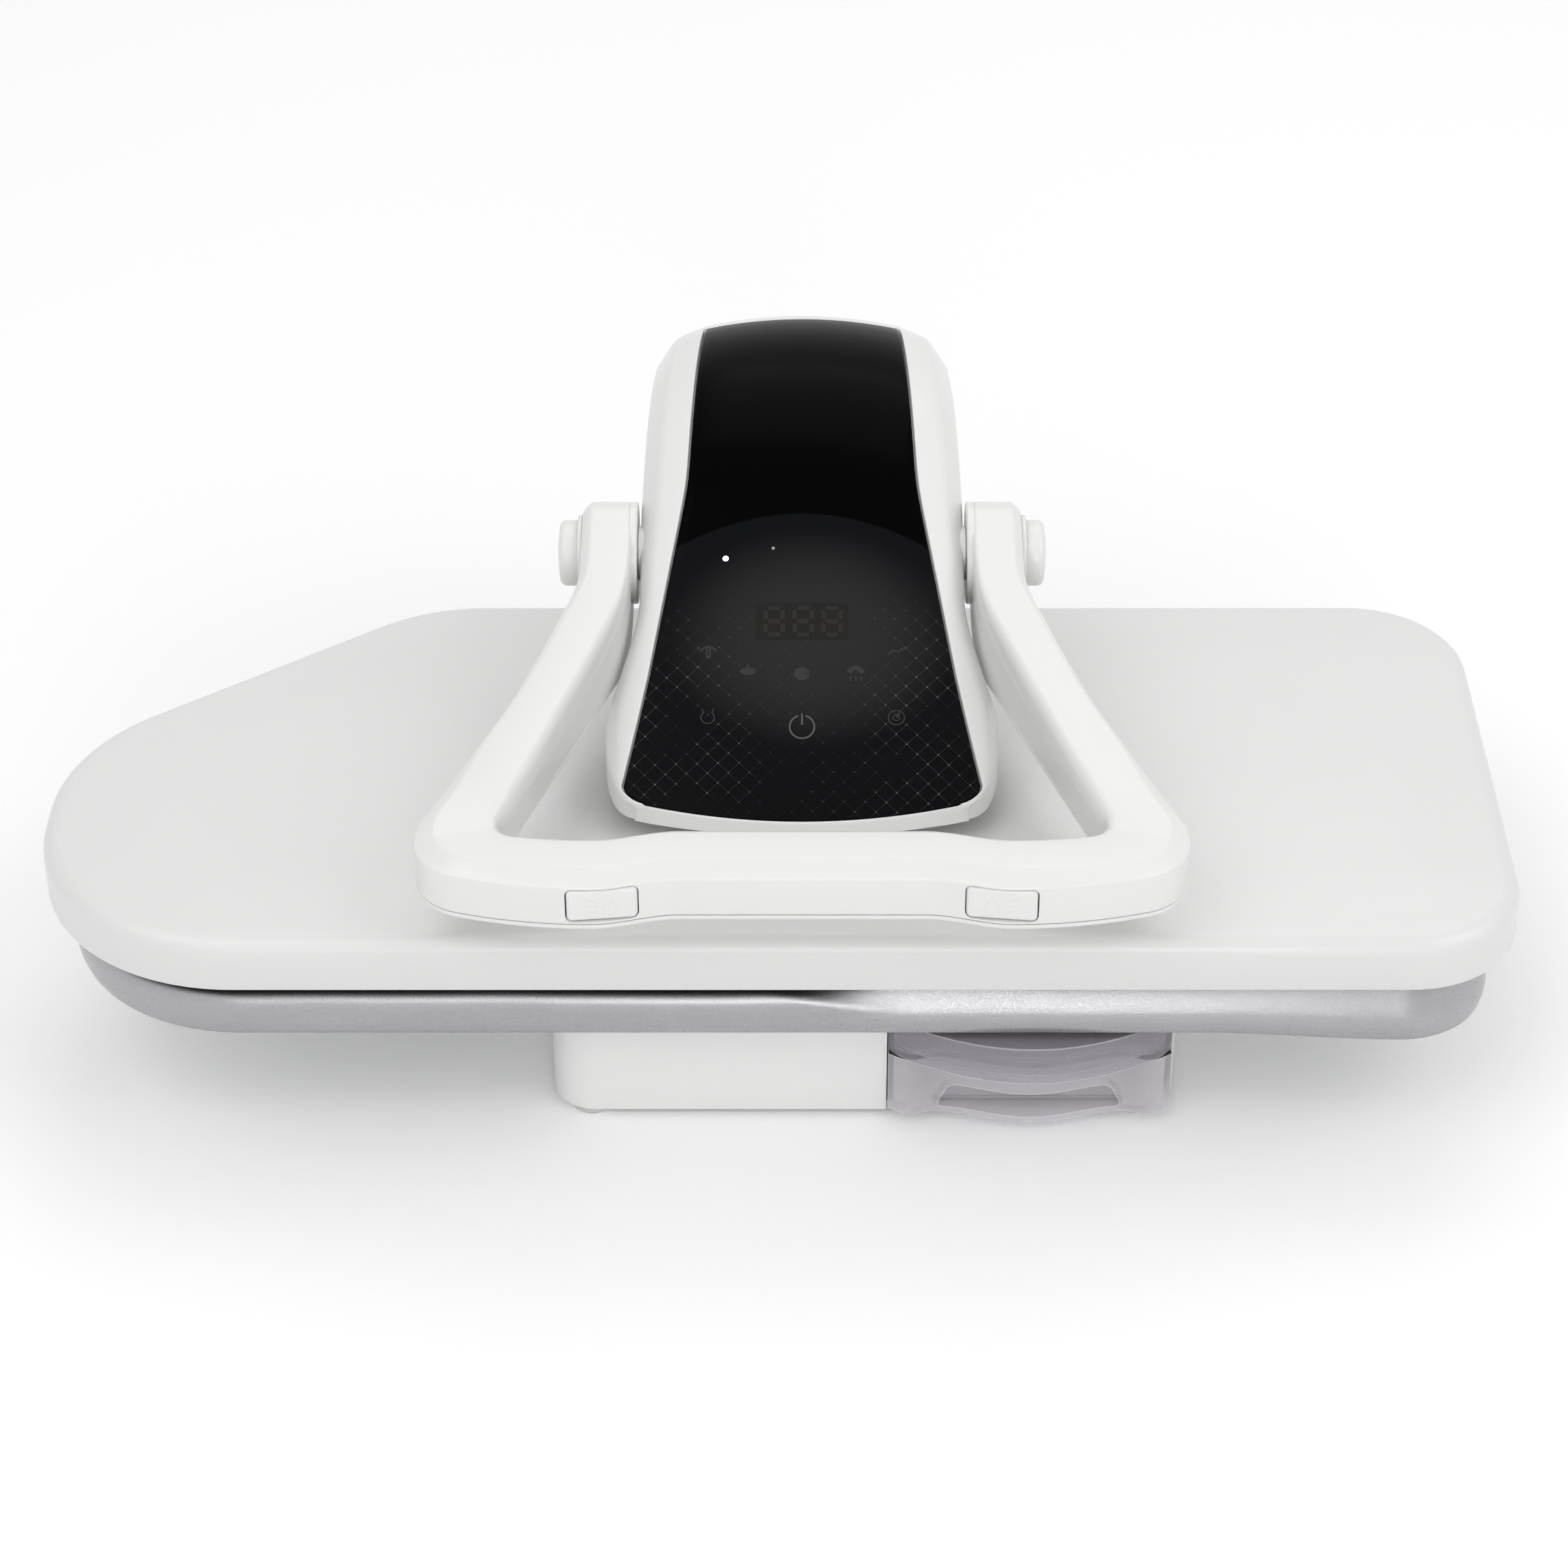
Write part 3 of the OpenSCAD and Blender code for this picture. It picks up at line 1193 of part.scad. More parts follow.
// A button's face slants with the bar's front
module button(side) {
    face = bar_front - 1;
    color(WHITE) translate([arm_x + side * button_x, 0, button_z]) {
        difference() {
            rotate([90, 0, 0]) translate([0, 0, -button_back]) linear_extrude(button_back - face)
                polygon(box_outline([-button_w / 2, -button_h / 2], [button_w / 2, button_h / 2], 3));
            translate([side * button_w / 2, face, 0]) rotate([0, 0, -side * button_slant])
                translate([-2 * button_w, -button_depth, -button_h]) cube([4 * button_w, button_depth, 2 * button_h]);
        }
        translate([-button_w / 2 - 1.5, button_back - 1.5, -button_h / 2 - 0.6])
            cube([button_w + 3, 1.5, button_h + 1.2]);
        rotate([-90, 0, 0]) translate([0, 0, button_back - 1]) cylinder(r = 2.5, h = 3.6);
    }
}
module button_left() { button(-1); }
module button_right() { button(1); }

// Heated plate
column_x = arm_x;
mat_t = 2;
mat_inset = cover_wall + edge_round + 5;
mat_bottom = plate_top - cover_wall - mat_t;
sole_inset = cover_wall + 1.5;
element_r = 4;
element_half = 97;
element_y = plate_mid_y;
element_end_x = plate_len / 2 - 135;

module plate_cover() {
    crown = [[40, cover_crown], [24, 0.75 * cover_crown], [14, 0.25 * cover_crown]];
    outer = concat(
        [for (c = crown) plate_ring(c.x, plate_top + c.y)],
        [for (q = [90:-18:0]) plate_ring(edge_round * (1 - cos(q)), plate_top - edge_round * (1 - sin(q)))],
        [plate_ring(0, cover_edge + 1), plate_ring(0.8, cover_edge)]
    );
    inner = [
        plate_ring(cover_wall, cover_edge),
        plate_ring(cover_wall, plate_top - edge_round),
        plate_ring(cover_wall + 0.3 * edge_round, plate_top - cover_wall - 0.3 * edge_round),
        plate_ring(cover_wall + edge_round, plate_top - cover_wall),
        plate_ring(40, plate_top - cover_wall)
    ];
    color(WHITE) difference() {
        ring_stack(concat(outer, inner));
        translate([column_x, pivot_y, plate_top - 3 * cover_wall]) cylinder(r = column_r + 4, h = 6 * cover_wall);
    }
}

module insulation_mat() {
    color(FOAM) difference() {
        translate([0, 0, mat_bottom]) linear_extrude(mat_t) polygon(plate_outline(mat_inset));
        translate([column_x, pivot_y, mat_bottom - 1]) cylinder(r = column_r + 4, h = mat_t + 2);
    }
}

module sole_plate() {
    rows = [-2:2];
    color(ALUMINIUM) difference() {
        translate([0, 0, sole_bottom]) linear_extrude(sole_t) polygon(plate_outline(sole_inset));
        for (i = [-5:6], j = rows) translate([i * steam_pitch, plate_mid_y - 27 + j * steam_pitch / 2, sole_bottom - 1])
            if (abs(j) != 2) cylinder(r = steam_hole_r, h = sole_t + 2);
    }
}

// Spring clips that hold the cover down on the sole plate
module cover_clips() {
    clip_w = 16;
    clip_h = 8;
    clip_wall = 1.5;
    color(STEEL) for (x = [-120, 60, 220], side = [-1, 1]) {
        wall_y = side > 0 ? plate_back - cover_wall : plate_front + cover_wall;
        translate([x, wall_y, sole_top]) mirror([0, side > 0 ? 1 : 0, 0]) {
            cube([clip_w, 12, clip_wall]);
            cube([clip_w, clip_wall, clip_h]);
        }
    }
}

module heating_element() {
    z = sole_top + element_r;
    legs = [[-element_half, 190], [element_half, 140]];
    color(DARK_STEEL) {
        for (leg = legs) rod_x(-leg[1], element_end_x, element_r, element_y + leg[0], z);
        translate([element_end_x, element_y, z]) rotate([0, 0, -90])
            rotate_extrude(angle = 180) translate([element_half, 0]) circle(element_r);
    }
}

module steam_chamber() {
    low = [-190, plate_front + 62];
    high = [180, plate_front + 150];
    h = mat_bottom - sole_top - 1;
    color(ALUMINIUM) difference() {
        union() {
            translate([0, 0, sole_top]) linear_extrude(h - 2) polygon(box_outline(low, high, 12));
            translate([0, 0, sole_top]) linear_extrude(h) polygon(box_outline(low, high, 12, 6));
        }
        translate([-120, high.y - 25, sole_top + 3]) cylinder(r = 3, h = h);
    }
}

module thermostat() {
    color(GREY) translate([-70, pivot_y + 5, sole_top]) {
        cylinder(r = 11, h = 2);
        cylinder(r = 8, h = mat_bottom - sole_top - 1);
    }
}

module thermal_fuse() {
    color(BRASS) {
        rod_x(-128, -104, 3, pivot_y + 5, sole_top + 3);
        translate([-124, pivot_y, sole_top]) cube([4, 10, 2]);
        translate([-112, pivot_y, sole_top]) cube([4, 10, 2]);
    }
}

module press_column() {
    color(STEEL) translate([column_x, pivot_y, 0]) {
        translate([0, 0, sole_top]) cylinder(r = column_r + 18, h = 8);
        translate([0, 0, sole_top + 7]) cylinder(r = column_r, h = crosshead_top - sole_top - 8);
        translate([0, 0, crosshead_top - crosshead_t]) cylinder(r = column_r + 15, h = crosshead_t);
    }
}

return_turns = 3;
return_low = guide_top + return_wire_r + face_gap;
return_high = crosshead_top - crosshead_t - return_wire_r - face_gap;
function return_path() = [for (k = [0:8 * return_turns]) let (q = 45 * k)
    [column_x + return_coil_r * cos(q), pivot_y + return_coil_r * sin(q),
        lerp(return_low, return_high, k / (8 * return_turns))]];
// Least gap between neighbouring turns of the return spring
return_gap = (return_high - return_low) / return_turns - 2 * return_wire_r;
echo(return_spring_gap = return_gap);

module return_spring() {
    color(STEEL) tube(return_path(), return_wire_r, [0, 0, 1]);
}

base_shell();
floor_plate();
rubber_feet();
floor_screws();
hinge_tower();
tower_bolts();
hinge_axle();
axle_clips();
lift_springs();
board_pan();
board_screws();
foam_pad();
board_cover();
water_pump();
pump_hose();
tank_socket();
power_board();
cord_gland();
tank_body();
tank_lid();
tank_seal();
tank_valve();
tank_cap();
arm_housing();
arm_undercover();
undercover_screws();
control_panel();
control_board();
display_module();
touch_pads();
arm_frame();
hinge_bushes();
shaft_bushes();
guide_block();
handle_body();
handle_cover();
handle_shaft();
hub_washers();
hub_caps();
pressure_cams();
button_switches();
button_left();
button_right();
plate_cover();
insulation_mat();
cover_clips();
sole_plate();
heating_element();
steam_chamber();
thermostat();
thermal_fuse();
press_column();
return_spring();
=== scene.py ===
"""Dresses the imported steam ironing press: shells, padded board, panel marks, finishes and a studio."""
import logging
import math
from dataclasses import dataclass, field
from enum import Enum
from typing import Optional, Sequence, Union

import bmesh
import bpy
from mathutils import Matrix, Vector


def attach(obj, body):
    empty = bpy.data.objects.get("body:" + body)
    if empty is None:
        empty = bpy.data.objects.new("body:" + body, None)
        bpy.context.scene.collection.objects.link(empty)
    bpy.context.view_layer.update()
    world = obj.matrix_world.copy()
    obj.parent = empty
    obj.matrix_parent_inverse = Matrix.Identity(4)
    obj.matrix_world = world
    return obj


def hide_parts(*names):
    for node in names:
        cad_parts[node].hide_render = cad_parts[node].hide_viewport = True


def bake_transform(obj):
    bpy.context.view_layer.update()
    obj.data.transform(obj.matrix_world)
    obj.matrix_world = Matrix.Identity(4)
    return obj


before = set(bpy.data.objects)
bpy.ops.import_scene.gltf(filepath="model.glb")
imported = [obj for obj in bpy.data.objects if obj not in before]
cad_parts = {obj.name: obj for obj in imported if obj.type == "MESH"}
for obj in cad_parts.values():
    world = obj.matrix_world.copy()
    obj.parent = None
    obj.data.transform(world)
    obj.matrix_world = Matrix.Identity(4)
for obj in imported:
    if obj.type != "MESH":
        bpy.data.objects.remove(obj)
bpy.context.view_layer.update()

LOG = logging.getLogger("press")
MM = 0.001
UPRIGHT = 90.0
SIDES = (-1.0, 1.0)
Piece = bpy.types.Object
Colour = tuple[float, float, float]
Row = list[Vector]
Flat = tuple[float, float]


def lerp(low: float, high: float, share: float) -> float:
    """Gives the value that lies a share of the way from low to high."""
    return low + (high - low) * share


def clamp01(value: float) -> float:
    """Holds a value between 0 and 1."""
    return max(0.0, min(1.0, value))


def ease(value: float) -> float:
    """Goes from 0 to 1 with a soft start and end."""
    share = clamp01(value)
    return share * share * (3.0 - 2.0 * share)


def sine(degrees: float) -> float:
    """Gives the sine of an angle in degrees."""
    return math.sin(math.radians(degrees))


def cosine(degrees: float) -> float:
    """Gives the cosine of an angle in degrees."""
    return math.cos(math.radians(degrees))


def tangent(degrees: float) -> float:
    """Gives the tangent of an angle in degrees."""
    return math.tan(math.radians(degrees))


def turn_point(radius: float, degrees: float) -> Flat:
    """Gives the point of a circle at an angle."""
    return radius * cosine(degrees), radius * sine(degrees)


def side_word(side: float) -> str:
    """Names a side: -1 is the left, 1 the right."""
    return "left" if side < 0 else "right"


def linked(name: str, data: bpy.types.ID) -> Piece:
    """Makes an object from its data and links it to the scene."""
    made = bpy.data.objects.new(name, data)
    bpy.context.scene.collection.objects.link(made)
    return made


# Shader sums


class Sock:
    """A shader socket that takes part in Python sums."""

    def __init__(self, shade: "Shade", socket: bpy.types.NodeSocket) -> None:
        """Keeps the socket and the shade that owns its tree."""
        self.shade = shade
        self.socket = socket

    def sum(self, operation: str, *others: "Value") -> "Sock":
        """Adds a Math node with this socket first."""
        return self.shade.sum(operation, self, *others)

    def __add__(self, other: "Value") -> "Sock":
        """Adds."""
        return self.sum("ADD", other)

    __radd__ = __add__

    def __sub__(self, other: "Value") -> "Sock":
        """Takes away."""
        return self.sum("SUBTRACT", other)

    def __rsub__(self, other: "Value") -> "Sock":
        """Takes this socket away from a number."""
        return self.shade.sum("SUBTRACT", other, self)

    def __mul__(self, other: "Value") -> "Sock":
        """Multiplies."""
        return self.sum("MULTIPLY", other)

    __rmul__ = __mul__

    def __truediv__(self, other: "Value") -> "Sock":
        """Divides."""
        return self.sum("DIVIDE", other)

    def __pow__(self, other: "Value") -> "Sock":
        """Raises to a power."""
        return self.sum("POWER", other)

    def size(self) -> "Sock":
        """Drops the sign."""
        return self.sum("ABSOLUTE")

    def least(self, other: "Value") -> "Sock":
        """Takes the smaller of two values."""
        return self.sum("MINIMUM", other)

    def most(self, other: "Value") -> "Sock":
        """Takes the larger of two values."""
        return self.sum("MAXIMUM", other)

    def wave(self) -> "Sock":
        """Takes the sine."""
        return self.sum("SINE")

    def fraction(self) -> "Sock":
        """Keeps what follows the point."""
        return self.sum("FRACT")

    def between(self, low: float, high: float) -> "Sock":
        """Goes softly from 0 at low to 1 at high.

        Args:
            low: Where the step starts.
            high: Where the step ends.

        Returns:
            The share, held between 0 and 1.
        """
        settings = {"interpolation_type": "SMOOTHSTEP"}
        inputs = {"Value": self, "From Min": low, "From Max": high}
        return self.shade.node("ShaderNodeMapRange", settings, inputs)


Value = Union[Sock, float]


class Shade:
    """The node tree of one material."""

    def __init__(self, name: str) -> None:
        """Makes an empty material with a name."""
        self.material = bpy.data.materials.new(name)
        self.material.use_nodes = True
        self.tree = self.material.node_tree
        self.tree.nodes.clear()

    def feed(self, socket: bpy.types.NodeSocket, value: object) -> None:
        """Links a socket or sets its value.

        Args:
            socket: The input that gets the value.
            value: A Sock, a number or a tuple of numbers.
        """
        if isinstance(value, Sock):
            self.tree.links.new(value.socket, socket)
        elif isinstance(value, tuple) and socket.type == "RGBA":
            socket.default_value = (*value[:3], 1.0)
        else:
            socket.default_value = value

    def node(self, kind: str, settings: Optional[dict] = None, inputs: Optional[dict] = None,
             out: Union[int, str] = 0) -> Sock:
        """Adds one node.

        Args:
            kind: The node's type.
            settings: Its settings by name.
            inputs: Values or links by the socket's name or number.
            out: The output to give back.

        Returns:
            The output as a Sock.
        """
        made = self.tree.nodes.new(kind)
        for key, value in (settings or {}).items():
            setattr(made, key, value)
        for key, value in (inputs or {}).items():
            self.feed(made.inputs[key], value)
        return Sock(self, made.outputs[out])

    def sum(self, operation: str, *values: Value) -> Sock:
        """Adds a Math node over values."""
        return self.node("ShaderNodeMath", {"operation": operation}, dict(enumerate(values)))

    def place(self) -> Sock:
        """Gives the Object coordinates."""
        return self.node("ShaderNodeTexCoord", out="Object")

    def axes(self, place: Sock) -> tuple[Sock, Sock, Sock]:
        """Splits a place into its three axes."""
        first = self.node("ShaderNodeSeparateXYZ", None, {0: place})
        outputs = first.socket.node.outputs
        return first, Sock(self, outputs[1]), Sock(self, outputs[2])

    def stretched(self, place: Sock, scale: tuple[float, float, float]) -> Sock:
        """Scales a place along its axes."""
        return self.node("ShaderNodeMapping", None, {"Vector": place, "Scale": scale})

    def noise(self, place: Sock, scale: float, detail: float = 2.0) -> Sock:
        """Gives soft noise from 0 to 1 at a scale per metre."""
        inputs = {"Vector": place, "Scale": scale, "Detail": detail}
        return self.node("ShaderNodeTexNoise", None, inputs, "Fac")

    def mix(self, share: Value, first: object, second: object) -> Sock:
        """Mixes two colours."""
        settings = {"data_type": "RGBA", "clamp_factor": True}
        return self.node("ShaderNodeMix", settings, {0: share, 6: first, 7: second}, 2)

    def tones(self, share: Value, colour: Colour, low: float, high: float) -> Sock:
        """Mixes a darker and a lighter tone of one colour."""
        return self.mix(share, shaded(colour, low), shaded(colour, high))

    def bump(self, height: Sock, strength: float, distance: float) -> Sock:
        """Turns a height into a normal."""
        inputs = {"Height": height, "Strength": strength, "Distance": distance}
        return self.node("ShaderNodeBump", None, inputs)

    def finish(self, inputs: dict) -> bpy.types.Material:
        """Ends the tree in one surface shader.

        Args:
            inputs: Values or links of the surface shader by name.

        Returns:
            The finished material.
        """
        surface = self.node("ShaderNodeBsdfPrincipled", None, inputs)
        output = self.tree.nodes.new("ShaderNodeOutputMaterial")
        self.tree.links.new(surface.socket, output.inputs["Surface"])
        return self.material


def shaded(colour: Colour, factor: float) -> Colour:
    """Makes a colour lighter or darker by a factor."""
    return tuple(min(1.0, part * factor) for part in colour)


# Finishes


@dataclass(frozen=True)
class MouldedPlastic:
    """Moulded plastic, rubber or foam: a faint cloud in the colour and a fine grain."""

    name: str
    colour: Colour
    roughness: float
    grain: float = 0.08
    grain_scale: float = 1500.0
    cloud: float = 0.012
    coat: float = 0.0
    gloss: float = 0.5

    def build(self) -> bpy.types.Material:
        """Makes the material."""
        shade = Shade(self.name)
        place = shade.place()
        cloud = shade.noise(place, scale=16.0, detail=3.0)
        grain = shade.noise(place, self.grain_scale, 3.0)
        colour = shade.tones(cloud, self.colour, 1.0 - self.cloud, 1.0 + self.cloud)
        rough = (grain - 0.5) * 0.1 + (cloud - 0.5) * 0.06 + self.roughness
        return shade.finish({
            "Base Color": colour,
            "Roughness": rough,
            "Normal": shade.bump(grain, self.grain, 0.0001),
            "Specular IOR Level": self.gloss,
            "Coat Weight": self.coat,
            "Coat Roughness": 0.1,
        })


class Working(Enum):
    """How a metal was worked, as the stretch of its marks along X, Y and Z."""

    ROLLED = (14.0, 900.0, 900.0)
    TURNED = (900.0, 60.0, 60.0)
    CAST = (260.0, 260.0, 260.0)


@dataclass(frozen=True)
class WorkedMetal:
    """Bare metal with the marks of how it was worked."""

    name: str
    colour: Colour
    roughness: float
    working: Working

    def build(self) -> bpy.types.Material:
        """Makes the material."""
        shade = Shade(self.name)
        place = shade.place()
        marks = shade.noise(shade.stretched(place, self.working.value), 1.0, 4.0)
        cloud = shade.noise(place, scale=22.0, detail=3.0)
        colour = shade.tones(marks, self.colour, 0.9, 1.06)
        rough = (marks - 0.5) * 0.22 + (cloud - 0.5) * 0.12 + self.roughness
        return shade.finish({
            "Base Color": colour,
            "Metallic": 1.0,
            "Roughness": rough,
            "Normal": shade.bump(marks, 0.12, 0.0001),
        })


@dataclass(frozen=True)
class SilverCloth:
    """Metal-coated ironing cloth: a fine plain weave with a soft glitter, and painted shade in deep crevices.
    """

    name: str
    colour: Colour = (0.405, 0.405, 0.419)
    pitch: float = 0.0011
    crevice: float = 0.03
    crevice_range: Flat = (0.47, 0.71)
    crevice_shade_tone: float = 0.04
    glint_colour: Colour = (0.8, 0.8, 0.82)
    roughness: float = 0.31
    metallic: float = 0.7

    def build(self) -> bpy.types.Material:
        """Makes the material."""
        shade = Shade(self.name)
        place = shade.place()
        x, y, z = shade.axes(place)
        turn = 2.0 * math.pi / self.pitch
        slub = shade.noise(shade.stretched(place, (90.0, 900.0, 900.0)), 1.0, 3.0)
        warp = ((x + slub * 0.0004) * turn).wave()
        weft = ((y + z) * turn).wave()
        weave = (warp * weft) * 0.5 + 0.5
        cloud = shade.noise(place, scale=26.0, detail=4.0)
        glint = shade.noise(place, scale=1700.0, detail=2.0).between(0.52, 0.72)
        tone = (weave * 0.35 + slub * 0.35 + cloud * 0.3).between(0.2, 0.8)
        colour = shade.tones(tone, self.colour, 0.9, 1.08)
        glitter = shade.mix(glint * 0.22, colour, self.glint_colour)
        # Painted shade: ambient occlusion darkens the colour in deep crevices, where shade falls.
        opening = shade.node("ShaderNodeAmbientOcclusion", None, {"Distance": self.crevice}, "AO")
        open_air = opening.between(*self.crevice_range)
        crevice_shaded = shade.mix(open_air, shaded(self.colour, self.crevice_shade_tone), glitter)
        rough = (weave - 0.5) * 0.1 - glint * 0.1 + self.roughness
        height = weave * 0.6 + slub * 0.4
        return shade.finish({
            "Base Color": crevice_shaded,
            "Metallic": self.metallic,
            "Roughness": rough,
            "Normal": shade.bump(height, 0.22, 0.0002),
            "Sheen Weight": 0.1,
        })


@dataclass(frozen=True)
class SmokyPlastic:
    """Clear plastic with a smoky tint: denser where it turns away, with painted highlight lines along its
    edges.
    """

    name: str
    colour: Colour = (0.52, 0.495, 0.55)
    body: float = 0.3
    rim: float = 0.6
    edge: float = 0.0012
    edge_highlight_turn: Flat = (0.78, 0.985)
    edge_highlight_colour: Colour = (0.93, 0.925, 0.94)
    edge_highlight_body: float = 0.5

    def build(self) -> bpy.types.Material:
        """Makes the material."""
        shade = Shade(self.name)
        place = shade.place()
        flow = shade.noise(shade.stretched(place, (20.0, 20.0, 60.0)), 1.0, 3.0)
        haze = shade.noise(place, scale=700.0, detail=2.0)
        colour = shade.tones(flow, self.colour, 0.94, 1.05)
        turned = shade.node("ShaderNodeLayerWeight", None, {"Blend": 0.4}, "Facing")
        facing = shade.node("ShaderNodeNewGeometry", out="Normal")
        eased = shade.node("ShaderNodeBevel", {"samples": 6}, {"Radius": self.edge}, "Normal")
        dot = {"operation": "DOT_PRODUCT"}
        flat = shade.node("ShaderNodeVectorMath", dot, {0: facing, 1: eased}, "Value")
        # Painted highlight: edges are mixed to a pale colour and made more opaque, standing in for light
        # caught along them.
        lip = 1.0 - flat.between(*self.edge_highlight_turn)
        return shade.finish({
            "Base Color": shade.mix(lip, colour, self.edge_highlight_colour),
            "Roughness": haze * 0.06 + 0.05,
            "IOR": 1.5,
            "Alpha": turned ** 2.0 * self.rim + self.body + flow * 0.05 + lip * self.edge_highlight_body,
            "Normal": shade.bump(flow, 0.05, 0.0004),
        })


@dataclass(frozen=True)
class BlackGlass:
    """The glossy control panel: black, with a painted reflection as a lighter lower field with a brighter
    patch, and a faint printed lattice of lines and dots in that field.
    """

    name: str
    middle: tuple[float, float, float]
    slope: float
    pitch: float = 0.0093
    field_top: float = 0.079
    field_bow: float = 4.6
    reflection_patch_place: Flat = (0.004, 0.018)
    reflection_patch_size: Flat = (0.062, 0.05)
    field_edge_w: float = 0.0006
    field_dark: Colour = (0.0055, 0.0058, 0.0065)
    field_light: Colour = (0.0265, 0.0265, 0.028)
    upper: Colour = (0.0006, 0.0007, 0.0009)
    line_colour: Colour = (0.36, 0.36, 0.37)
    line_strength: float = 0.45

    def build(self) -> bpy.types.Material:
        """Makes the material."""
        shade = Shade(self.name)
        place = shade.place()
        x, y, z = shade.axes(place)
        across = x - self.middle[0]
        rise = (y - self.middle[1]) * math.cos(self.slope) + (z - self.middle[2]) * math.sin(self.slope)
        field_edge = rise + across * across * self.field_bow
        soft = self.field_edge_w
        # Painted reflection: the panel's lower field is lighter than its top.
        reflection_field = 1.0 - field_edge.between(self.field_top - soft, self.field_top + soft)
        patch = shade.noise(place, scale=42.0, detail=2.0).between(0.36, 0.66)
        flanks = across.size().between(0.01, 0.06) * (1.0 - rise.between(-0.015, 0.06))
        strength = (flanks * 0.8 + 0.2 * (1.0 - rise.between(-0.03, 0.05))) * patch
        first = ((across + rise) / self.pitch).fraction() - 0.5
        second = ((across - rise) / self.pitch).fraction() - 0.5
        lines = (1.0 - first.size().least(second.size()).between(0.004, 0.017)) * 0.4
        dots = 1.0 - (first * first + second * second).between(0.0012, 0.005)
        lattice = lines.most(dots) * strength * reflection_field
        # Painted reflection: a brighter patch in the lower field.
        off = (across - self.reflection_patch_place[0]) / self.reflection_patch_size[0]
        up = (rise - self.reflection_patch_place[1]) / self.reflection_patch_size[1]
        glow = 1.0 - (off * off + up * up).between(0.0, 1.3)
        field_tone = shade.mix(glow, self.field_dark, self.field_light)
        base = shade.mix(reflection_field, self.upper, field_tone)
        colour = shade.mix(lattice * self.line_strength, base, self.line_colour)
        smear = shade.noise(place, scale=45.0, detail=3.0)
        return shade.finish({
            "Base Color": colour,
            "Roughness": smear * 0.05 + 0.16,
            "Specular IOR Level": 0.02,
        })


@dataclass(frozen=True)
class CircuitBoard:
    """Green board with copper tracks under the lacquer."""

    name: str

    def build(self) -> bpy.types.Material:
        """Makes the material."""
        shade = Shade(self.name)
        x, y, _ = shade.axes(shade.place())
        along = ((x + y * 0.3) / 0.0025).fraction().between(0.55, 0.62)
        across = ((y - x * 0.2) / 0.006).fraction().between(0.7, 0.75)
        tracks = along.most(across)
        colour = shade.mix(tracks, (0.02, 0.11, 0.05), (0.05, 0.2, 0.09))
        return shade.finish({"Base Color": colour, "Roughness": tracks * 0.1 + 0.32})


@dataclass(frozen=True)
class SignalLamp:
    """A small lamp behind the panel that is lit."""

    name: str
    colour: Colour = (0.95, 0.97, 1.0)
    strength: float = 1.2

    def build(self) -> bpy.types.Material:
        """Makes the material."""
        shade = Shade(self.name)
        core = shade.noise(shade.place(), 300.0, 1.0)
        glow = shade.tones(core, self.colour, 0.9, 1.0)
        return shade.finish({
            "Base Color": glow,
            "Roughness": 0.3,
            "Emission Color": glow,
            "Emission Strength": self.strength,
        })


WHITE = MouldedPlastic("white_moulded", (0.80, 0.797, 0.79), 0.3, 0.05, 1500.0, 0.008, 0.15)
# Painted light: a lighter copy of the white moulded plastic for the base, standing in for light bounced up
# from the floor.
BOUNCE_LIT_WHITE = MouldedPlastic("bright_base_white", (0.87, 0.867, 0.86), 0.3, 0.05, 1500.0, 0.008, 0.15)
ENAMEL = MouldedPlastic("white_plate_cover", (0.75, 0.748, 0.744), 0.32, 0.004, 1200.0, 0.008, 0.2)
GREY = MouldedPlastic("grey_moulded", (0.5, 0.5, 0.505), 0.42, 0.12)
RUBBER = MouldedPlastic("black_rubber", (0.02, 0.02, 0.021), 0.72, 0.35, 900.0, 0.08)
PALE_RUBBER = MouldedPlastic("pale_rubber", (0.6, 0.598, 0.59), 0.65, 0.3, 900.0, 0.04)
FOAM = MouldedPlastic("cream_foam", (0.78, 0.74, 0.6), 0.9, 0.8, 700.0, 0.05)
STEEL = WorkedMetal("bright_steel", (0.62, 0.62, 0.63), 0.28, Working.TURNED)
PAN_STEEL = WorkedMetal("galvanised_pan", (0.52, 0.53, 0.54), 0.45, Working.CAST)
DARK_STEEL = WorkedMetal("dark_steel", (0.17, 0.17, 0.18), 0.42, Working.ROLLED)
ALUMINIUM = WorkedMetal("pressed_aluminium", (0.72, 0.725, 0.73), 0.34, Working.ROLLED)
BRASS = WorkedMetal("turned_brass", (0.7, 0.52, 0.22), 0.3, Working.TURNED)
NON_STICK = MouldedPlastic("non_stick_coat", (0.035, 0.035, 0.037), 0.34, 0.2, 1100.0, 0.05)
CLOTH = SilverCloth("silver_ironing_cloth")
SMOKE = SmokyPlastic("smoky_lid_plastic")
# Painted light: a paler, more opaque copy of the smoky plastic for the tank's body, standing in for light
# shining through it.
BACKLIT_SMOKE = SmokyPlastic("smoky_tank_plastic", (0.84, 0.815, 0.865), 0.36)
GREEN_BOARD = CircuitBoard("green_circuit_board")
DISPLAY = MouldedPlastic("display_black", (0.0215, 0.0208, 0.02), 0.4, 0.02, gloss=0.02)
DIM_INK = MouldedPlastic("dim_panel_print", (0.045, 0.0455, 0.047), 0.4, 0.02, gloss=0.02)
PALE_INK = MouldedPlastic("pale_panel_print", (0.1, 0.1, 0.102), 0.4, 0.02, gloss=0.02)
SEGMENT_INK = MouldedPlastic("display_segments", (0.032, 0.0308, 0.0288), 0.4, 0.02, gloss=0.02)
LAMP = SignalLamp("lit_signal_lamp")
FAINT_LAMP = SignalLamp("faint_signal_lamp", (0.3, 0.3, 0.3), 0.2)

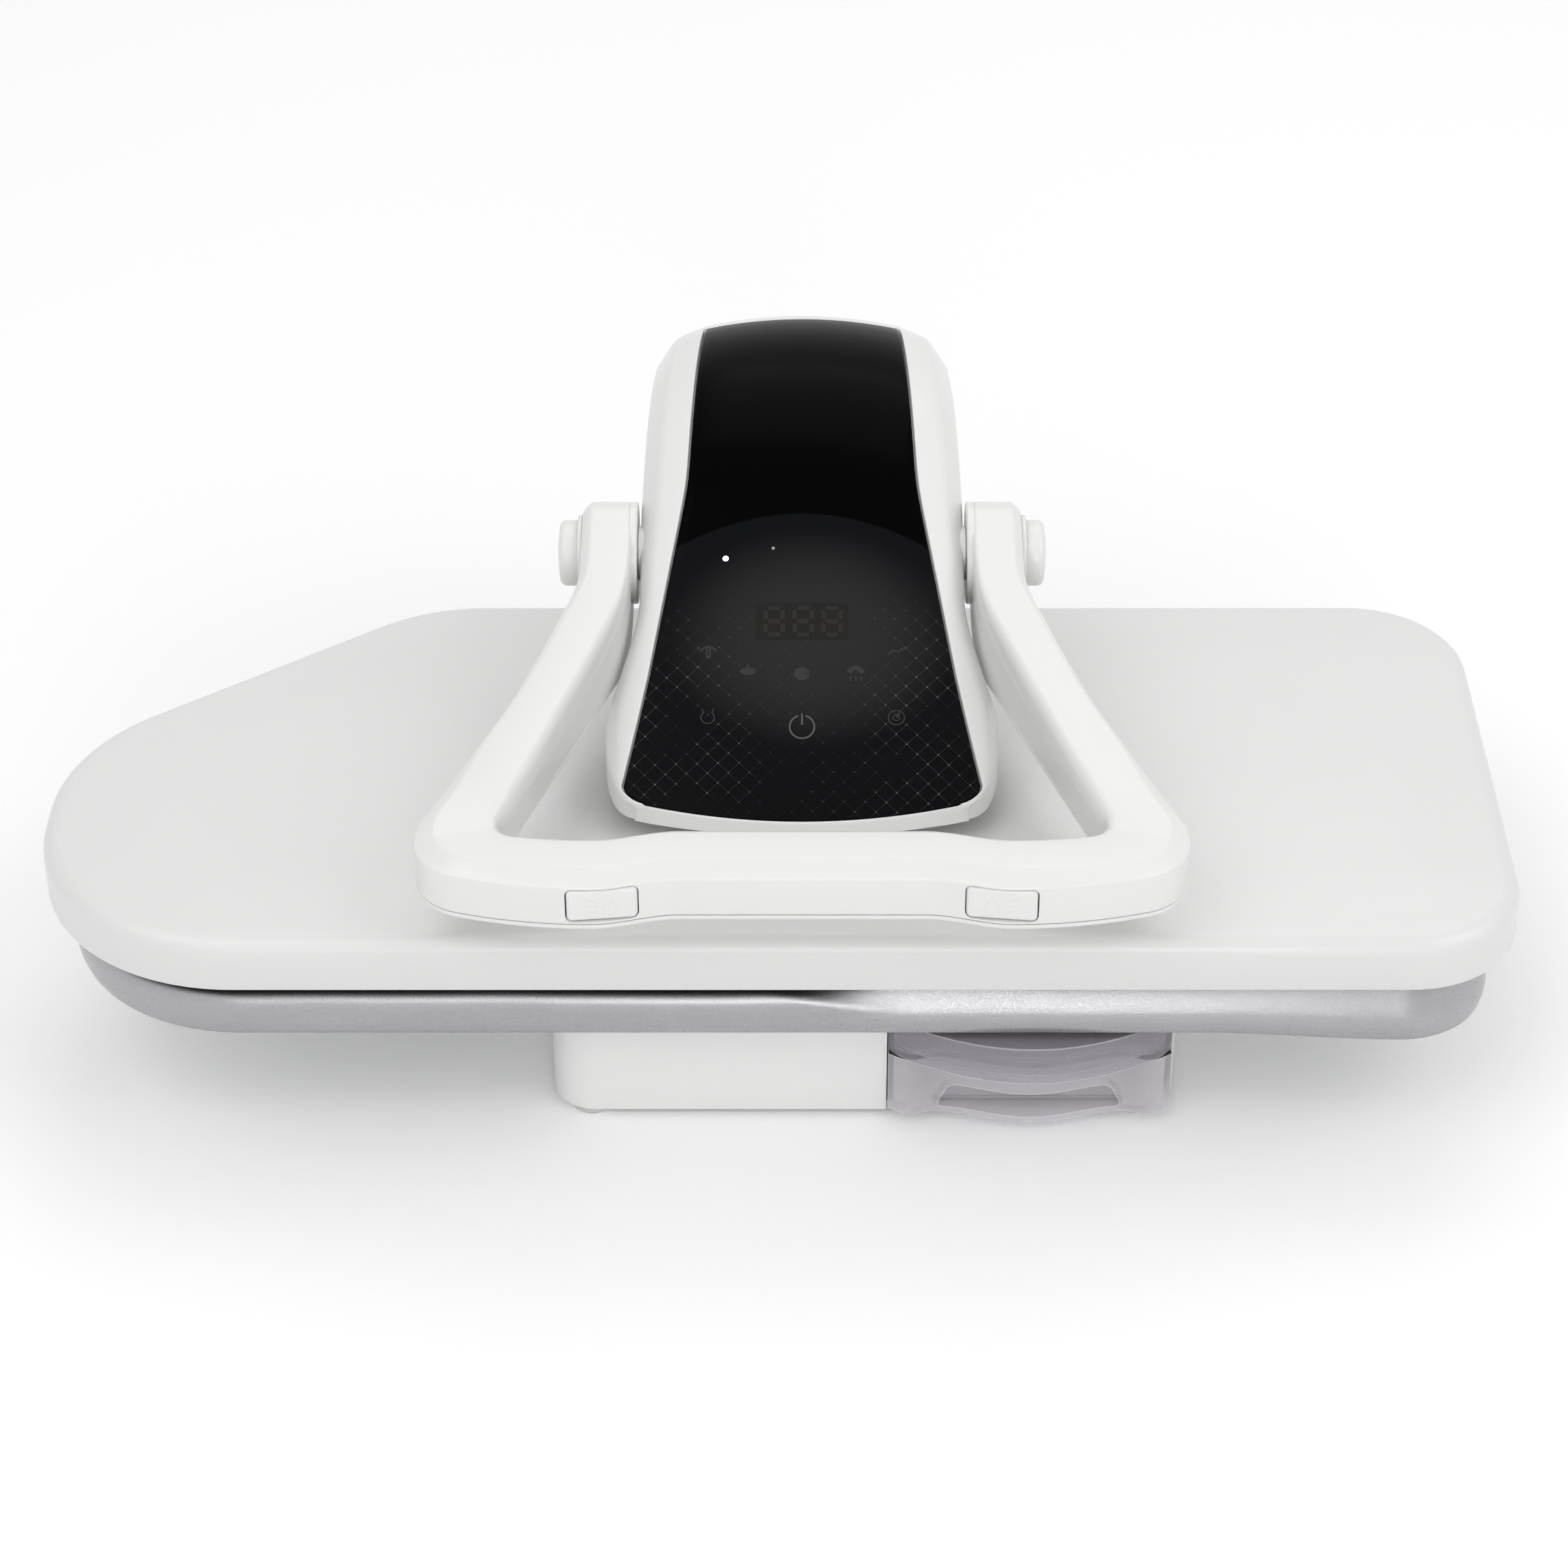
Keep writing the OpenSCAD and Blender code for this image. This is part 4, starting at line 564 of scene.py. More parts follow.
Finish = Union[MouldedPlastic, WorkedMetal, SilverCloth, SmokyPlastic, BlackGlass, CircuitBoard, SignalLamp]
MADE: dict[str, bpy.types.Material] = {}


def material_of(finish: Finish) -> bpy.types.Material:
    """Gives a finish's material, made once."""
    if finish.name not in MADE:
        MADE[finish.name] = finish.build()
    return MADE[finish.name]


# Mesh drafts


@dataclass
class Draft:
    """Points in millimetres and faces that become one mesh."""

    points: Row = field(default_factory=list)
    faces: list[tuple[int, ...]] = field(default_factory=list)

    def rings(self, rings: Sequence[Row], cap_first: bool = True, cap_last: bool = True) -> "Draft":
        """Adds a skin through closed rings of equal length.

        Args:
            rings: The rings in order.
            cap_first: Whether the first ring is closed by a face.
            cap_last: Whether the last ring is closed by a face.

        Returns:
            This draft.
        """
        start = len(self.points)
        count = len(rings[0])
        for ring in rings:
            self.points.extend(ring)
        for level in range(len(rings) - 1):
            low = start + level * count
            for k in range(count):
                after = (k + 1) % count
                self.faces.append((low + k, low + after, low + count + after, low + count + k))
        if cap_first:
            self.faces.append(tuple(start + k for k in reversed(range(count))))
        if cap_last:
            last = start + (len(rings) - 1) * count
            self.faces.append(tuple(last + k for k in range(count)))
        return self

    def sheet(self, rows: Sequence[Row]) -> "Draft":
        """Adds an open sheet through rows of equal length."""
        start = len(self.points)
        count = len(rows[0])
        for row in rows:
            self.points.extend(row)
        for level in range(len(rows) - 1):
            low = start + level * count
            for k in range(count - 1):
                self.faces.append((low + k, low + k + 1, low + count + k + 1, low + count + k))
        return self

    def slab(self, top: Sequence[Row], bottom: Sequence[Row]) -> "Draft":
        """Adds a closed slab between two sheets of equal size."""
        rows = len(top)
        count = len(top[0])
        start = len(self.points)
        self.sheet(top)
        self.sheet([list(reversed(row)) for row in bottom])
        back = start + rows * count

        def under(row: int, k: int) -> int:
            """Gives the bottom point below a top point."""
            return back + row * count + count - 1 - k

        rim = [(0, k) for k in range(count)] + [(row, count - 1) for row in range(1, rows)]
        rim += [(rows - 1, k) for k in range(count - 2, -1, -1)]
        rim += [(row, 0) for row in range(rows - 2, 0, -1)]
        for here, there in zip(rim, rim[1:] + rim[:1]):
            ends = (start + here[0] * count + here[1], start + there[0] * count + there[1])
            self.faces.append((ends[1], ends[0], under(*here), under(*there)))
        return self

    def object(self, name: str, sharp: float = 38.0) -> Piece:
        """Makes the mesh object, in metres.

        Args:
            name: The piece's name.
            sharp: Edges that turn by more than this angle stay crisp.

        Returns:
            The new object, linked to the scene.
        """
        mesh = bpy.data.meshes.new(name)
        mesh.from_pydata([point * MM for point in self.points], [], self.faces)
        work = bmesh.new()
        work.from_mesh(mesh)
        bmesh.ops.remove_doubles(work, verts=work.verts, dist=1e-7)
        bmesh.ops.recalc_face_normals(work, faces=work.faces)
        work.to_mesh(mesh)
        work.free()
        made = linked(name, mesh)
        smooth(made, sharp)
        return made


def smooth(piece: Piece, sharp: float) -> None:
    """Shades a piece smooth, with crisp edges past an angle."""
    piece.data.shade_smooth()
    piece.data.set_sharp_from_angle(angle=math.radians(sharp))


def settle(piece: Piece) -> Piece:
    """Turns a piece with modifiers into its plain result."""
    bpy.context.view_layer.update()
    shown = piece.evaluated_get(bpy.context.evaluated_depsgraph_get())
    mesh = bpy.data.meshes.new_from_object(shown)
    old = piece.data
    piece.modifiers.clear()
    piece.data = mesh
    mesh.name = piece.name
    bpy.data.meshes.remove(old)
    return piece


def rounded(piece: Piece, width: float, segments: int = 3,
            angle: float = 40.0) -> Piece:
    """Rounds a piece's crisp edges.

    Args:
        piece: The piece to round.
        width: Width of the rounding in millimetres.
        segments: Faces across the rounding.
        angle: Edges that turn by more than this are rounded.

    Returns:
        The piece, with the rounding in its mesh.
    """
    bevel = piece.modifiers.new("round_edges", "BEVEL")
    bevel.width = width * MM
    bevel.segments = segments
    bevel.limit_method = "ANGLE"
    bevel.angle_limit = math.radians(angle)
    settle(piece)
    smooth(piece, sharp=42.0)
    return piece


def cut(piece: Piece, tool: Piece) -> Piece:
    """Cuts one closed mesh out of another and removes the tool."""
    boolean = piece.modifiers.new("cut", "BOOLEAN")
    boolean.operation = "DIFFERENCE"
    boolean.solver = "EXACT"
    boolean.object = tool
    settle(piece)
    bpy.data.objects.remove(tool)
    return piece


def refined(node: str, name: str, width: float, segments: int = 2) -> Piece:
    """Copies a solid's mesh, merges its flat faces and rounds its edges.

    Args:
        node: The solid to copy.
        name: The new piece's name.
        width: Width of the rounding in millimetres.
        segments: Faces across the rounding.

    Returns:
        The new piece.
    """
    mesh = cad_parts[node].data.copy()
    mesh.name = name
    mesh.materials.clear()
    work = bmesh.new()
    work.from_mesh(mesh)
    bmesh.ops.remove_doubles(work, verts=work.verts, dist=2e-6)
    bmesh.ops.dissolve_limit(work, angle_limit=math.radians(1.5), verts=work.verts, edges=work.edges)
    work.to_mesh(mesh)
    work.free()
    return rounded(linked(name, mesh), width, segments)


def soften(corners: Row, trims: Sequence[float], steps: int = 4) -> Row:
    """Rounds the inner corners of an open line.

    Args:
        corners: The line's corners.
        trims: How far each corner is rounded to both sides, nothing for the two ends.
        steps: Parts of each round.

    Returns:
        The line with its rounds; every corner gives the same count of points.
    """
    line = [corners[0]]
    for before, corner, after, trim in zip(corners, corners[1:], corners[2:], trims[1:]):
        back = before - corner
        ahead = after - corner
        start = corner + back * min(0.49, trim / max(back.length, 1e-6))
        end = corner + ahead * min(0.49, trim / max(ahead.length, 1e-6))
        for k in range(steps + 1):
            share = k / steps
            line.append(start * (1 - share) ** 2 + corner * 2 * share * (1 - share) + end * share ** 2)
    line.append(corners[-1])
    return line


def headings(line: Sequence[Flat]) -> list[Vector]:
    """Gives the direction of a flat line at each of its points."""
    made = []
    for k in range(len(line)):
        before, after = line[max(k - 1, 0)], line[min(k + 1, len(line) - 1)]
        made.append(Vector((after[0] - before[0], after[1] - before[1])).normalized())
    return made


def lathe(profile: Sequence[Flat], middle: Vector, side: float, count: int = 64) -> list[Row]:
    """Turns a profile round an axis along X.

    Args:
        profile: Pairs of place along the axis and radius.
        middle: A point on the axis.
        side: 1 to go to the right, -1 to the left.
        count: Points in each ring.

    Returns:
        The rings.
    """
    rings = []
    for along, radius in profile:
        spots = [turn_point(radius, 360.0 * k / count) for k in range(count)]
        rings.append([middle + Vector((side * along, spot[0], spot[1])) for spot in spots])
    return rings


def dress(piece: Piece, body: str, slot: str, finish: Finish, *nodes: str) -> Piece:
    """Gives a piece its finish and its body, and hides the solids that it stands for.

    Args:
        piece: The piece.
        body: The body it rides on.
        slot: The record's material slot; not used.
        finish: Its finish.
        nodes: The solids it replaces.

    Returns:
        The piece.
    """
    piece.data.materials.clear()
    piece.data.materials.append(material_of(finish))
    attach(piece, body)
    if nodes:
        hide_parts(*nodes)
    LOG.info("%s rides on %s, %d faces", piece.name, body, len(piece.data.polygons))
    return piece


# Repeats by Geometry Nodes


class Repeat:
    """A node tree that sets copies of a shape on points or along a line and makes one mesh of them."""

    def __init__(self, name: str, shape: Piece, finish: Finish, spacing: float = 0.0) -> None:
        """Builds the tree.

        Args:
            name: The tree's name.
            shape: The shape that repeats.
            finish: The finish of the copies.
            spacing: Distance along the line in metres, or 0 to use the points as they are.
        """
        self.shape = shape
        self.finish = finish
        self.spacing = spacing
        self.tree = bpy.data.node_groups.new(name, "GeometryNodeTree")
        face = self.tree.interface
        face.new_socket("Geometry", in_out="INPUT", socket_type="NodeSocketGeometry")
        self.keys = {}
        for word, kind in (("Shape", "Object"), ("Finish", "Material"), ("Spacing", "Float")):
            entry = face.new_socket(word, in_out="INPUT", socket_type=f"NodeSocket{kind}")
            self.keys[word] = entry.identifier
        face.new_socket("Geometry", in_out="OUTPUT", socket_type="NodeSocketGeometry")
        self.wire()

    def add(self, kind: str, **settings: object) -> bpy.types.Node:
        """Adds a node with its settings."""
        made = self.tree.nodes.new(kind)
        for key, value in settings.items():
            setattr(made, key, value)
        return made

    def wire(self) -> None:
        """Adds the nodes and links of the tree."""
        link = self.tree.links.new
        entry = self.add("NodeGroupInput")
        leave = self.add("NodeGroupOutput")
        info = self.add("GeometryNodeObjectInfo")
        link(entry.outputs["Shape"], info.inputs["Object"])
        copies = self.add("GeometryNodeInstanceOnPoints")
        link(info.outputs["Geometry"], copies.inputs["Instance"])
        if self.spacing > 0.0:
            line = self.add("GeometryNodeMeshToCurve")
            spots = self.add("GeometryNodeCurveToPoints", mode="LENGTH")
            aim = self.add("FunctionNodeAlignRotationToVector", axis="X")
            link(entry.outputs["Geometry"], line.inputs["Mesh"])
            link(line.outputs["Curve"], spots.inputs["Curve"])
            link(entry.outputs["Spacing"], spots.inputs["Length"])
            link(spots.outputs["Tangent"], aim.inputs["Vector"])
            link(spots.outputs["Points"], copies.inputs["Points"])
            link(aim.outputs["Rotation"], copies.inputs["Rotation"])
        else:
            spots = self.add("GeometryNodeMeshToPoints")
            link(entry.outputs["Geometry"], spots.inputs["Mesh"])
            link(spots.outputs["Points"], copies.inputs["Points"])
        real = self.add("GeometryNodeRealizeInstances")
        paint = self.add("GeometryNodeSetMaterial")
        link(copies.outputs["Instances"], real.inputs["Geometry"])
        link(real.outputs["Geometry"], paint.inputs["Geometry"])
        link(entry.outputs["Finish"], paint.inputs["Material"])
        link(paint.outputs["Geometry"], leave.inputs["Geometry"])

    def build(self, name: str, points: Row, closed: bool = False) -> Piece:
        """Sets the copies on points and gives the plain mesh.

        Args:
            name: The piece's name.
            points: Points in millimetres.
            closed: Whether the points are the corners of a closed line.

        Returns:
            The piece.
        """
        count = len(points)
        edges = [(k, (k + 1) % count) for k in range(count)] if closed else []
        mesh = bpy.data.meshes.new(name)
        mesh.from_pydata([point * MM for point in points], edges, [])
        made = linked(name, mesh)
        repeat = made.modifiers.new("repeat", "NODES")
        repeat.node_group = self.tree
        repeat[self.keys["Shape"]] = self.shape
        repeat[self.keys["Finish"]] = material_of(self.finish)
        repeat[self.keys["Spacing"]] = self.spacing
        settle(made)
        smooth(made, sharp=40.0)
        return made


# Sizes that several pieces share, in millimetres


MID_X = 12.0
PIVOT_Y = 22.5
PIVOT_Z = 194.1
HINGE_Y = 139.5
HUB_IN = 77.5
BORE_R = 9.0


# The press's outline


@dataclass
class Outline:
    """Plan outline of the heated plate, shared by the plate and the board."""

    length: float = 656.0
    front: float = -176.5
    back: float = 96.5
    corner_r: float = 52.0
    nose_run: float = 158.0
    nose_drop: float = 122.0
    nose_r: float = 93.0
    shoulder_r: float = 85.0
    step: float = 3.0

    def corners(self) -> list[tuple[Vector, float]]:
        """Gives the corners with their radii, anticlockwise."""
        half = self.length / 2
        return [
            (Vector((half, self.front)), self.corner_r),
            (Vector((half, self.back)), self.corner_r),
            (Vector((self.nose_run - half, self.back)), self.shoulder_r),
            (Vector((-half, self.back - self.nose_drop)), self.nose_r),
            (Vector((-half, self.front)), self.nose_r),
        ]

    def flat(self, inset: float) -> list[Vector]:
        """Gives the outline drawn inset, as arcs joined by straight lines."""
        corners = self.corners()
        line = []
        for k, (corner, radius) in enumerate(corners):
            along = (corner - corners[k - 1][0]).normalized()
            onward = (corners[(k + 1) % len(corners)][0] - corner).normalized()
            left = Vector((-along.y, along.x))
            turn = math.atan2(along.cross(onward), along.dot(onward))
            middle = corner - along * radius * math.tan(turn / 2) + left * radius
            start = math.degrees(math.atan2(-left.y, -left.x))
            steps = math.ceil(math.degrees(turn) / self.step)
            for q in range(steps + 1):
                spot = turn_point(radius - inset, start + math.degrees(turn) * q / steps)
                line.append(middle + Vector(spot))
        return line

    def ring(self, inset: float, height: float, spacing: float = 0.0) -> Row:
        """Gives the outline at a height.

        Args:
            inset: Distance inside the plate's edge.
            height: Height of the ring.
            spacing: Longest part of a straight edge, or 0 to leave edges whole.

        Returns:
            The ring's points; their count doesn't depend on the inset.
        """
        edge = self.flat(0.0)
        line = self.flat(inset)
        ring = []
        for k, here in enumerate(line):
            there = line[(k + 1) % len(line)]
            span = (edge[(k + 1) % len(line)] - edge[k]).length
            parts = max(1, math.ceil(span / spacing)) if spacing else 1
            for part in range(parts):
                spot = here.lerp(there, part / parts)
                ring.append(Vector((spot.x, spot.y, height)))
        return ring


OUTLINE = Outline()


# Heated plate


@dataclass
class HeatedPlate:
    """The plate's white cover with its soft edge."""

    top: float = 120.5
    edge: float = 94.5
    wall: float = 3.0
    round_r: float = 8.0
    round_parts: int = 8
    crown: float = 1.5
    crown_insets: tuple[float, ...] = (50.0, 42.0, 36.0, 30.0, 24.0, 19.0, 14.0)
    crown_edge: float = 9.0
    inner_bend: float = 2.4
    column: Vector = field(default_factory=lambda: Vector((MID_X, PIVOT_Y, 0.0)))
    column_hole: float = 16.0
    hole_reach: float = 9.0

    def cover(self) -> Piece:
        """Builds the cover as one shell with its hole for the column."""
        middle = self.crown_insets[0]
        rings = []
        for inset in self.crown_insets:
            fall = ease((middle - inset) / (middle - self.crown_edge))
            rings.append(OUTLINE.ring(inset, self.top + self.crown * (1 - fall)))
        for k in range(self.round_parts + 1):
            across, up = turn_point(self.round_r, UPRIGHT * (1 - k / self.round_parts))
            rings.append(OUTLINE.ring(self.round_r - across, self.top - self.round_r + up))
        inside = self.top - self.wall
        rim = (
            (0.0, self.edge + 1.2), (0.25, self.edge + 0.4), (0.9, self.edge), (self.wall, self.edge),
            (self.wall, self.top - self.round_r), (self.wall + self.inner_bend, inside - self.inner_bend),
            (self.wall + self.round_r, inside), (middle, inside),
        )
        rings += [OUTLINE.ring(inset, height) for inset, height in rim]
        cover = Draft().rings(rings).object("plate_cover_shell")
        circle = [turn_point(self.column_hole, 7.5 * k) for k in range(48)]
        hole = [[self.column + Vector((*spot, self.top + lift)) for spot in circle]
                for lift in (-self.hole_reach, self.hole_reach)]
        cut(cover, Draft().rings(hole).object("column_hole"))
        smooth(cover, sharp=38.0)
        return cover

    def build(self) -> None:
        """Builds and dresses the cover."""
        dress(self.cover(), "plate", "white_enamel", ENAMEL, "plate_cover")


# Arm


Station = tuple[float, float, float]


@dataclass
class Arm:
    """The hinged arm: its white housing, the bosses at its hubs and the black panel."""

    mid_x: float = MID_X
    front: float = -113.5
    back: float = 199.5
    bottom: float = 132.5
    lip_top: float = 138.1
    slope: float = 34.0
    slope_run: float = 133.0
    rear_r: float = 38.0
    half_rear: float = 70.5
    half_mid: float = 73.8
    half_front: float = 88.0
    crown: float = 5.0
    hinge_y: float = HINGE_Y
    pivot: Vector = field(default_factory=lambda: Vector((MID_X, PIVOT_Y, PIVOT_Z)))
    flare_start: float = -17.5
    flare_len: float = 56.0
    tip_corner_len: float = 35.0
    tip_corner_cut: float = 14.0
    tip_bow: float = 15.0
    tip_fade: float = 60.0
    panel_join: float = 25.6
    panel_join_half: float = 53.0
    panel_runs: Flat = (0.044, 0.207)
    panel_bend: float = 3.8
    panel_corner_r: float = 5.5
    facet_share: float = 0.6
    facet_slopes: Flat = (0.42, 1.5)
    crest_angle: float = 28.0
    rear_angle: float = 84.0
    rear_lean: float = 6.0
    panel_end: float = -20.0
    rim_drop: float = 0.6
    skirt_front: float = 103.5
    skirt_bottom: float = 84.0
    rear_edge: float = 105.0
    seat: float = 2.4
    groove: float = 0.8
    panel_t: float = 2.2
    seam: float = 0.1
    wall: float = 2.6
    hub_in: float = HUB_IN
    lip_out: float = 1.5
    lip_angle: float = 60.0
    lip_run: float = 0.9
    lip_w: float = 1.6
    lip_r: float = 0.8
    panel_margin: float = 2.0
    panel_mid: float = 59.0
    panel_gap: float = 0.3
    panel_parts: int = 14
    crown_parts: int = 18
    skirt_back: float = 12.0
    skirt_run: float = 24.0
    skirt_gap: float = 5.0
    boss_in: float = 63.0
    boss_r: float = 12.5
    boss_gap: float = 2.5
    bore_r: float = BORE_R

    @property
    def slope_end(self) -> Flat:
        """Gives the place and height where the straight slope ends."""
        return self.front + self.slope_run, self.lip_top + self.slope_run * tangent(self.slope)

    @property
    def crest_r(self) -> float:
        """Gives the radius of the arm's crest."""
        rear = self.rear_r * (sine(self.rear_angle) - sine(self.crest_angle))
        turn = sine(self.slope) + sine(self.crest_angle)
        return (self.back - self.rear_lean - self.slope_end[0] - rear) / turn

    def half(self, y: float) -> float:
        """Gives the arm's half width at a place."""
        tip = clamp01((self.front + self.tip_corner_len - y) / self.tip_corner_len)
        ahead = clamp01((self.hinge_y - y) / (self.hinge_y - self.pivot.y))
        body = lerp(self.half_rear, self.half_mid, ahead)
        flare = (self.half_front - self.half_mid) * ease((self.flare_start - y) / self.flare_len)
        return body + flare - self.tip_corner_cut * (1 - math.sqrt(1 - tip * tip))

    def panel_half(self, y: float) -> float:
        """Gives the panel's half width at a place: two straight runs with a soft bend between them."""
        ahead = self.panel_join - y
        bend = self.panel_bend * math.log1p(math.exp(ahead / self.panel_bend))
        slow, fast = self.panel_runs
        width = self.panel_join_half + slow * ahead + (fast - slow) * bend
        return min(self.half(y) - self.panel_margin, width)

    def opening(self, y: float) -> float:
        """Gives the half width of the panel's opening, with its lower corners rounded."""
        up = (y - self.panel_start) / cosine(self.slope)
        short = max(0.0, self.panel_corner_r - max(0.0, up))
        return self.panel_half(y) - self.panel_corner_r + math.sqrt(self.panel_corner_r ** 2 - short ** 2)

    @property
    def panel_start(self) -> float:
        """Gives where the panel starts behind the lip."""
        return self.front + self.lip_w

    def rim(self, y: float) -> float:
        """Gives the height of the housing's lower edge."""
        if y < self.skirt_front:
            return self.bottom - self.rim_drop
        rise = clamp01((y - self.hinge_y - self.skirt_back) / self.skirt_run)
        return self.skirt_bottom + (self.rear_edge - self.skirt_bottom - self.skirt_gap) * rise

    def on_slope(self, y: float) -> Station:
        """Gives a station on the straight slope."""
        return y, self.lip_top + (y - self.front) * tangent(self.slope), self.slope

    def on_crest(self, angle: float) -> Station:
        """Gives a station on the round crest."""
        y, z = self.slope_end
        return (y + self.crest_r * (sine(self.slope) - sine(angle)),
                z + self.crest_r * (cosine(angle) - cosine(self.slope)), angle)

    def on_rear(self, angle: float) -> Station:
        """Gives a station on the rear shoulder."""
        y, z, _ = self.on_crest(-self.crest_angle)
        return (y + self.rear_r * (sine(-angle) - sine(self.crest_angle)),
                z + self.rear_r * (cosine(angle) - cosine(self.crest_angle)), angle)

    def panel_line(self) -> list[Station]:
        """Gives the stations along the panel."""
        corner = [self.on_slope(self.panel_start + 0.25 * k * k) for k in range(5)]
        start = corner[-1][0] + 2.0
        slope = corner + [self.on_slope(lerp(start, self.slope_end[0], k / 36)) for k in range(37)]
        crest = [self.on_crest(lerp(self.slope, self.panel_end, k / 26)) for k in range(1, 27)]
        return slope + crest

    def rear_line(self) -> list[Station]:
        """Gives the stations behind the panel."""
        first = [self.on_crest(lerp(self.panel_end - 0.6, -self.crest_angle, k / 4)) for k in range(5)]
        bend = [self.on_rear(lerp(-self.crest_angle, -self.rear_angle, k / 14)) for k in range(1, 15)]
        start = self.on_rear(-self.rear_angle)
        end = (self.back, self.rear_edge, -UPRIGHT)
        skirt = [tuple(lerp(*ends, k / 5) for ends in zip(start, end)) for k in range(1, 6)]
        return first + bend + skirt

    def point(self, station: Station, x: float, drop: float) -> Vector:
        """Gives a point of a station.

        Args:
            station: Place, height and slope on the top line.
            x: Distance from the middle plane.
            drop: Distance below the top line.

        Returns:
            The point in millimetres.
        """
        y, z, angle = station
        lay = min(angle, self.slope)
        bow = self.tip_bow * (x / self.half_front) ** 2 * clamp01(1 - (y - self.front) / self.tip_fade)
        lift = 0.0 if angle == UPRIGHT else bow * sine(self.slope) - drop * cosine(lay)
        return Vector((self.mid_x + x, y + drop * sine(lay) + bow * cosine(self.slope), z + lift))

    def crown_drop(self, x: float, half: float) -> float:
        """Gives how far the panel lies below its middle."""
        return self.crown * (x / half) ** 2

    def section(self, station: Station, seat: float) -> Row:
        """Gives the housing's section from the left rim to the right one."""
        y = station[0]
        half, panel = self.half(y), self.panel_half(y)
        facet = panel + self.facet_share * (half - panel)
        facet_drop = self.crown + self.facet_slopes[0] * (facet - panel)
        side_drop = facet_drop + self.facet_slopes[1] * (half - facet)
        side = self.point(station, half, side_drop)
        rim = Vector((side.x, side.y, self.rim(side.y)))
        edge = self.opening(y)
        corners = [rim, side, self.point(station, facet, facet_drop),
                   self.point(station, edge, self.crown_drop(edge, panel))]
        inner = edge - self.groove
        corners.append(self.point(station, inner, self.crown_drop(inner, panel) + seat))
        right = soften(corners, (0.0, 2.5, 3.0, 0.5, 0.0), steps=5)
        left = [Vector((2 * self.mid_x - spot.x, spot.y, spot.z)) for spot in right]
        spots = [inner * (2 * k / self.crown_parts - 1) for k in range(1, self.crown_parts)]
        crown = [self.point(station, x, self.crown_drop(x, panel) + seat) for x in spots]
        return left + crown + list(reversed(right))

    def housing(self) -> Piece:
        """Builds the white housing as a shell with an even wall."""
        tip = [(self.front - self.lip_out, self.bottom, UPRIGHT), (self.front, self.lip_top, self.lip_angle),
               self.on_slope(self.front + self.lip_run)]
        rows = [self.section(station, 0.0) for station in tip]
        rows += [self.section(station, self.seat) for station in self.panel_line()]
        rows += [self.section(station, 0.0) for station in self.rear_line()]
        columns = [soften(list(column), (0.0, self.lip_r, 0.0), steps=5) for column in zip(*rows[:3])]
        lip = [list(row) for row in zip(*columns)]
        shell = Draft().sheet(lip + rows[3:]).object("arm_housing_shell", sharp=30.0)
        thick = shell.modifiers.new("wall", "SOLIDIFY")
        thick.thickness = self.wall * MM
        thick.offset = -1.0
        settle(shell)
        smooth(shell, sharp=30.0)
        return shell

    def boss(self, side: float) -> Piece:
        """Builds the boss that carries a hub, low enough to stay under the housing's facet."""
        inner = self.hub_in - self.boss_gap
        profile = ((self.boss_in, 10.0), (self.boss_in + 1.0, self.boss_r), (inner - 0.4, self.boss_r),
                   (inner, self.boss_r - 0.4), (inner, self.bore_r))
        return Draft().rings(lathe(profile, self.pivot, side)).object(f"hub_boss_{side_word(side)}")

    def panel(self) -> Piece:
        """Builds the glossy panel."""
        def row(station: Station, inset: float, drop: float) -> Row:
            """Gives one row of the panel's face."""
            half = self.panel_half(station[0])
            edge = self.opening(station[0]) - self.groove - self.panel_gap - inset
            spots = [edge * (k / self.panel_parts - 1) for k in range(2 * self.panel_parts + 1)]
            return [self.point(station, x, self.crown_drop(x, half) + drop) for x in spots]

        stations = self.panel_line()
        face = self.seam
        rounds = ((0.9, face), (0.3, face + 0.2), (0.0, face + 0.8), (0.0, face + self.panel_t))
        rings = []
        for inset, drop in rounds:
            rows = [row(station, inset, drop) for station in stations]
            edge = rows[0] + [line[-1] for line in rows[1:]]
            edge += rows[-1][-2::-1] + [line[0] for line in rows[-2:0:-1]]
            rings.append(edge)
        draft = Draft().sheet([row(station, *rounds[0]) for station in stations])
        draft.rings(rings, cap_first=False, cap_last=False)
        draft.sheet([row(station, *rounds[-1]) for station in stations])
        return draft.object("panel_glass", sharp=50.0)

    def on_panel(self, spot: Flat, lift: float) -> Vector:
        """Gives a point on the panel's face.

        Args:
            spot: Place across and up the slope from the panel's middle.
            lift: Height over the glass.

        Returns:
            The point in millimetres.
        """
        y = self.front + self.panel_mid + spot[1] * cosine(self.slope)
        half = self.panel_half(y)
        return self.point(self.on_slope(y), spot[0], self.crown_drop(spot[0], half) + self.seam - lift)

    def build(self) -> None:
        """Builds and dresses the arm's pieces."""
        dress(self.housing(), "arm", "white_plastic", WHITE, "arm_housing")
        for side in SIDES:
            dress(self.boss(side), "arm", "white_plastic", WHITE)
        slope = math.radians(self.slope)
        middle = self.on_slope(self.front + self.panel_mid)
        glass = BlackGlass("black_panel_glass", (self.mid_x * MM, middle[0] * MM, middle[1] * MM), slope)
        dress(self.panel(), "arm", "black_panel", glass, "control_panel")


# Marks on the panel


